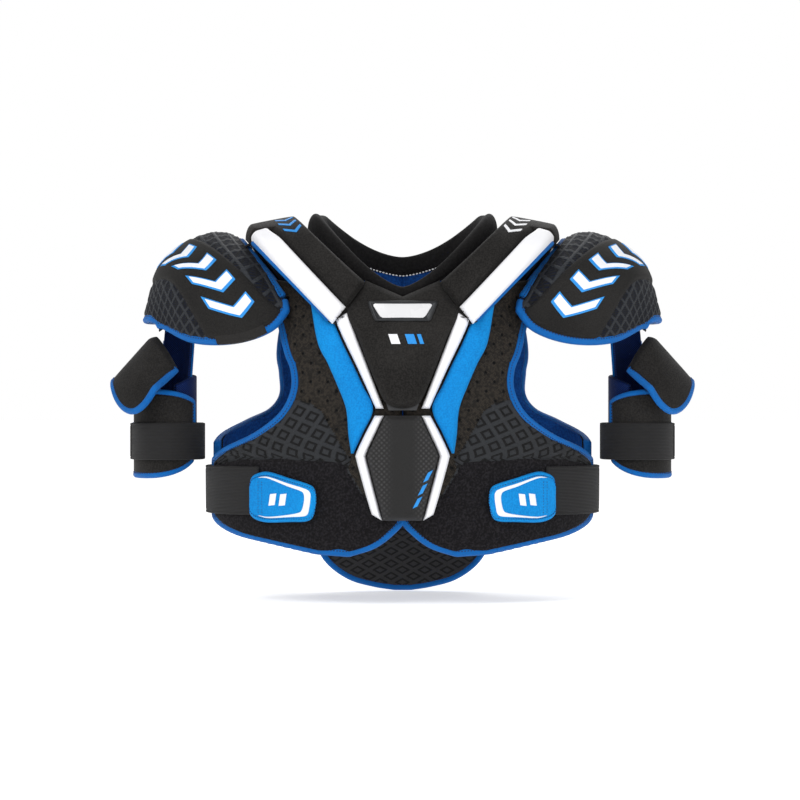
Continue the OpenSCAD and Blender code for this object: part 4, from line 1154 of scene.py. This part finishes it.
sling_face = arm_wall((58, 196), lambda u: -92 + 0 * u, lambda u: -CUFF_TOP - 30 + 0 * u, (21.6, 23.6), (-9, 1.5))
flap_top = lambda u: -FLAP_TOP - 3 - 39 * (2 * u - 1) ** 2
flap_foot = lambda u: -FLAP_TOP - 92 + 36 * step(u - 0.42, 0.44) + 26 * np.clip(1 - u / 0.2, 0, 1) ** 2
flap_face = arm_wall((-92, 62), flap_top, flap_foot, (26.5, BAND_R + 8.2), (-14, 11))
cuff_top = lambda u: -CUFF_TOP - 16 * abs(2 * u - 0.9) ** 3
cuff_foot = lambda u: -CUFF_FOOT + 20 * abs(2 * u - 1) ** 3
cuff_face = arm_wall((-146, 62), cuff_top, cuff_foot, (WRAP_R, WRAP_R), (0, 0))
liner_face = arm_wall((46, 246), lambda u: -CUFF_TOP + 20 - 12 * (2 * u - 1) ** 2, lambda u: -CUFF_FOOT + 22 + 0 * u,
                      (LINER_R, LINER_R), (0, 0))
band_face = arm_wall((-314, -14), lambda u: BAND_Z + BAND_W / 2 + 0 * u, lambda u: BAND_Z - BAND_W / 2 + 0 * u,
                     (BAND_R, BAND_R), (0, 0))
hook_face = arm_wall((-18, 38), lambda u: BAND_Z + BAND_W / 2 - 5 * u ** 3, lambda u: BAND_Z - BAND_W / 2 + 5 * u ** 3,
                     (BAND_R, BAND_R), (0, 0))

f = Finish("navy_mesh")
x, y, zone = f.cloth()
threads = crossings(x, y, 2.6)
thread_colour = f.mix(f.grains(260).over(0.16, 0.08), (0.001, 0.028, 0.17), (0.05, 0.11, 0.34))
NAVY_MESH = f.done(f.mix(threads.over(0.1, 0.5), (0.0005, 0.004, 0.03), thread_colour), 0.7, threads, 0.0004,
                   Sheen_Weight=0.02, Specular_IOR_Level=0.16)

sling = pad(sling_face, 60, 50, 0, 2.4, soft=1.5)
sling_rib = []
for w in (0.03, 0.97):
    on, above = (sling_face(np.linspace(0.25, 0.98, 40), np.full(40, w), height) for height in (3.0, 6.0))
    sling_rib.append(tape(on, above - on, wide=1.4, lip=1.4, high=1.6)[0])
flap = pad(flap_face, 90, 70, 0, GUARD_T, soft=5, puff=1.2)
cuff = pad(cuff_face, 60, 90, 0.4, GUARD_T - 0.2, soft=4.5)
liner = pad(lambda t, u, off: liner_face(t, 1 - u, 5.5 - off), 50, 80, 0, 7.5, soft=5, relief=quilting)
band = pad(band_face, 24, 150, 0, 2.2, soft=1.2)
band = (band[0], band[1], band[2][:, [1, 0, 2]])
hook = pad(hook_face, 30, 50, 0.2, 3.2, soft=1.6, relief=sewn_line((1, 2, 3), 3, 0.5, 0.7))
hook_path, hook_out = rim_path(hook_face, 1.6, [(0, 0.55), (0, 1), (1, 1), (1, 0.55)], 40)
hook_edge = tape(hook_path, hook_out, wide=1.6, lip=1.6, high=1.9)[0]
flap_edge, flap_out = rim_path(flap_face, GUARD_T / 2, [(0.0, 0), (1, 0), (1, 1), (0.0, 1)], 80)
flap_roll, flap_rows = sewn(flap_edge, flap_out, True, wide=4, lip=5.5, high=4.2)
cuff_rolls, cuff_rows = [], []
for corners in ([(0.5, 0), (0, 0), (0, 1), (0.5, 1)], [(1, 0), (1, 1)]):
    roll, rows = sewn(*rim_path(cuff_face, GUARD_T / 2, corners, 90), True, wide=4, lip=5, high=4.1)
    cuff_rolls.append(roll)
    cuff_rows += rows
liner_edge, liner_out = rim_path(liner_face, 2, [(0.4, 0), (0, 0), (0, 1), (0.4, 1)], 60)
liner_roll = tape(liner_edge, liner_out, wide=1.6, lip=2.4, high=3.4)[0]

soft_flap = swell(piece("flap_foam", [flap], BLACK), cap=0.0015)
soft_cuff = swell(piece("cuff_foam", [cuff], BLACK), cap=0.0012)


def other_side(obj, name, k):
    """A copy of a swollen pad for one side, mirrored for the right with its faces turned back out."""
    new = bpy.data.objects.new(name, obj.data.copy())
    bpy.context.scene.collection.objects.link(new)
    if k < 0:
        bm = bmesh.new()
        bm.from_mesh(new.data)
        bmesh.ops.scale(bm, vec=(-1, 1, 1), verts=bm.verts)
        bmesh.ops.reverse_faces(bm, faces=bm.faces)
        bm.to_mesh(new.data)
        bm.free()
    return new


for side, k in SIDES:
    cap, sling_body, flap_body, cuff_body = (f"{side}_{part}" for part in ("cap", "sling", "flap", "cuff"))
    obj = fit(piece(f"{side}_arm_sling", [sling], NAVY_MESH, k), None, "inner_lining", f"bicep_sling_{side}")
    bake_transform(obj)
    fit(piece(f"{side}_arm_sling_piping", sling_rib, TAPE, k), sling_body, "blue_binding")
    obj = fit(other_side(soft_flap, f"{side}_arm_flap", k), None, "black_knit", f"bicep_flap_{side}", fill=0.6)
    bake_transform(obj)
    bind(f"{side}_arm_flap", [flap_roll], flap_rows, flap_body, f"flap_binding_{side}", k, "_seam")
    fit(other_side(soft_cuff, f"{side}_arm_cuff", k), cuff_body, "black_knit", f"bicep_cuff_{side}", fill=0.6)
    bind(f"{side}_arm_cuff", cuff_rolls, cuff_rows, cuff_body, f"cuff_binding_{side}", k, "_seam")
    fit(piece(f"{side}_arm_cuff_lining", [liner], NAVY_MESH, k), cuff_body, "inner_lining", f"cuff_liner_{side}",
        fill=0.5)
    fit(piece(f"{side}_arm_lining_hem", [liner_roll], NAVY_MESH, k), cuff_body, "inner_lining")
    fit(piece(f"{side}_arm_band", [band], ELASTIC, k), cuff_body, "elastic", f"bicep_band_{side}")
    obj = fit(piece(f"{side}_arm_band_tab", [hook], ELASTIC, k), None, "elastic", f"bicep_tab_{side}")
    turn = arm(-12, BAND_Z, BAND_R, 0) / 1000
    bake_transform(obj)
    fit(piece(f"{side}_arm_band_tab_edge", [hook_edge], TAPE, k), f"{side}_cuff_tab", "blue_binding")
for obj in (soft_flap, soft_cuff):
    bpy.data.objects.remove(obj)

# ------------------------------------------------------------------ floor, light and camera
# A pale studio floor just under the tail, large soft lights, and a level camera 3.5 m in front.
FLOOR_Z = cad_box[0][2] - 0.001
floor_mesh = bpy.data.meshes.new("floor")
floor_mesh.from_pydata([(30 * x, 30 * y, FLOOR_Z) for x, y in ((-1, -1), (1, -1), (1, 1), (-1, 1))], [], [(0, 1, 2, 3)])
floor = bpy.data.objects.new("floor", floor_mesh)
bpy.context.scene.collection.objects.link(floor)
f = Finish("pale_floor")
floor_mesh.materials.append(f.done((0.9, 0.9, 0.9), 0.9, Emission_Color=(1, 1, 1), Emission_Strength=0.5))

world = bpy.data.worlds.new("studio")
world.use_nodes = True
glow = world.node_tree.nodes["Background"]
seen = world.node_tree.nodes.new("ShaderNodeLightPath")
level = world.node_tree.nodes.new("ShaderNodeMapRange")  # dimmer as a light than as the background
level.inputs["To Min"].default_value, level.inputs["To Max"].default_value = 0.62, 1.0
glow.inputs["Color"].default_value = (1, 1, 1, 1)
world.node_tree.links.new(seen.outputs["Is Camera Ray"], level.inputs["Value"])
world.node_tree.links.new(level.outputs["Result"], glow.inputs["Strength"])
bpy.context.scene.world = world
for name, place, power, size in (("key", (-1.5, -2.3, 2.1), 46, 1.4), ("fill", (2.2, -2.4, 0.7), 22, 1.8),
                                 ("back", (0.3, 2.4, 1.8), 24, 1.8)):
    lamp = bpy.data.lights.new(name, "AREA")
    lamp.energy, lamp.size = power, size
    light = bpy.data.objects.new(name, lamp)
    light.location = place
    aim = np.array([0, 0, -0.2]) - place
    light.rotation_euler = (math.atan2(math.hypot(aim[0], aim[1]), -aim[2]), 0,
                            math.atan2(aim[0], -aim[1]) + math.pi)
    bpy.context.scene.collection.objects.link(light)
CAMERA_AWAY, VIEW_W, SENSOR = 3.5, 0.96, 36
camera = bpy.data.objects.new("camera", bpy.data.cameras.new("camera"))
camera.location, camera.rotation_euler = (-0.003, -CAMERA_AWAY, -0.197), (math.pi / 2, 0, 0)
camera.data.sensor_width, camera.data.lens = SENSOR, SENSOR * CAMERA_AWAY / VIEW_W
bpy.context.scene.collection.objects.link(camera)
bpy.context.scene.camera = camera
bpy.context.scene.view_settings.view_transform = "Standard"
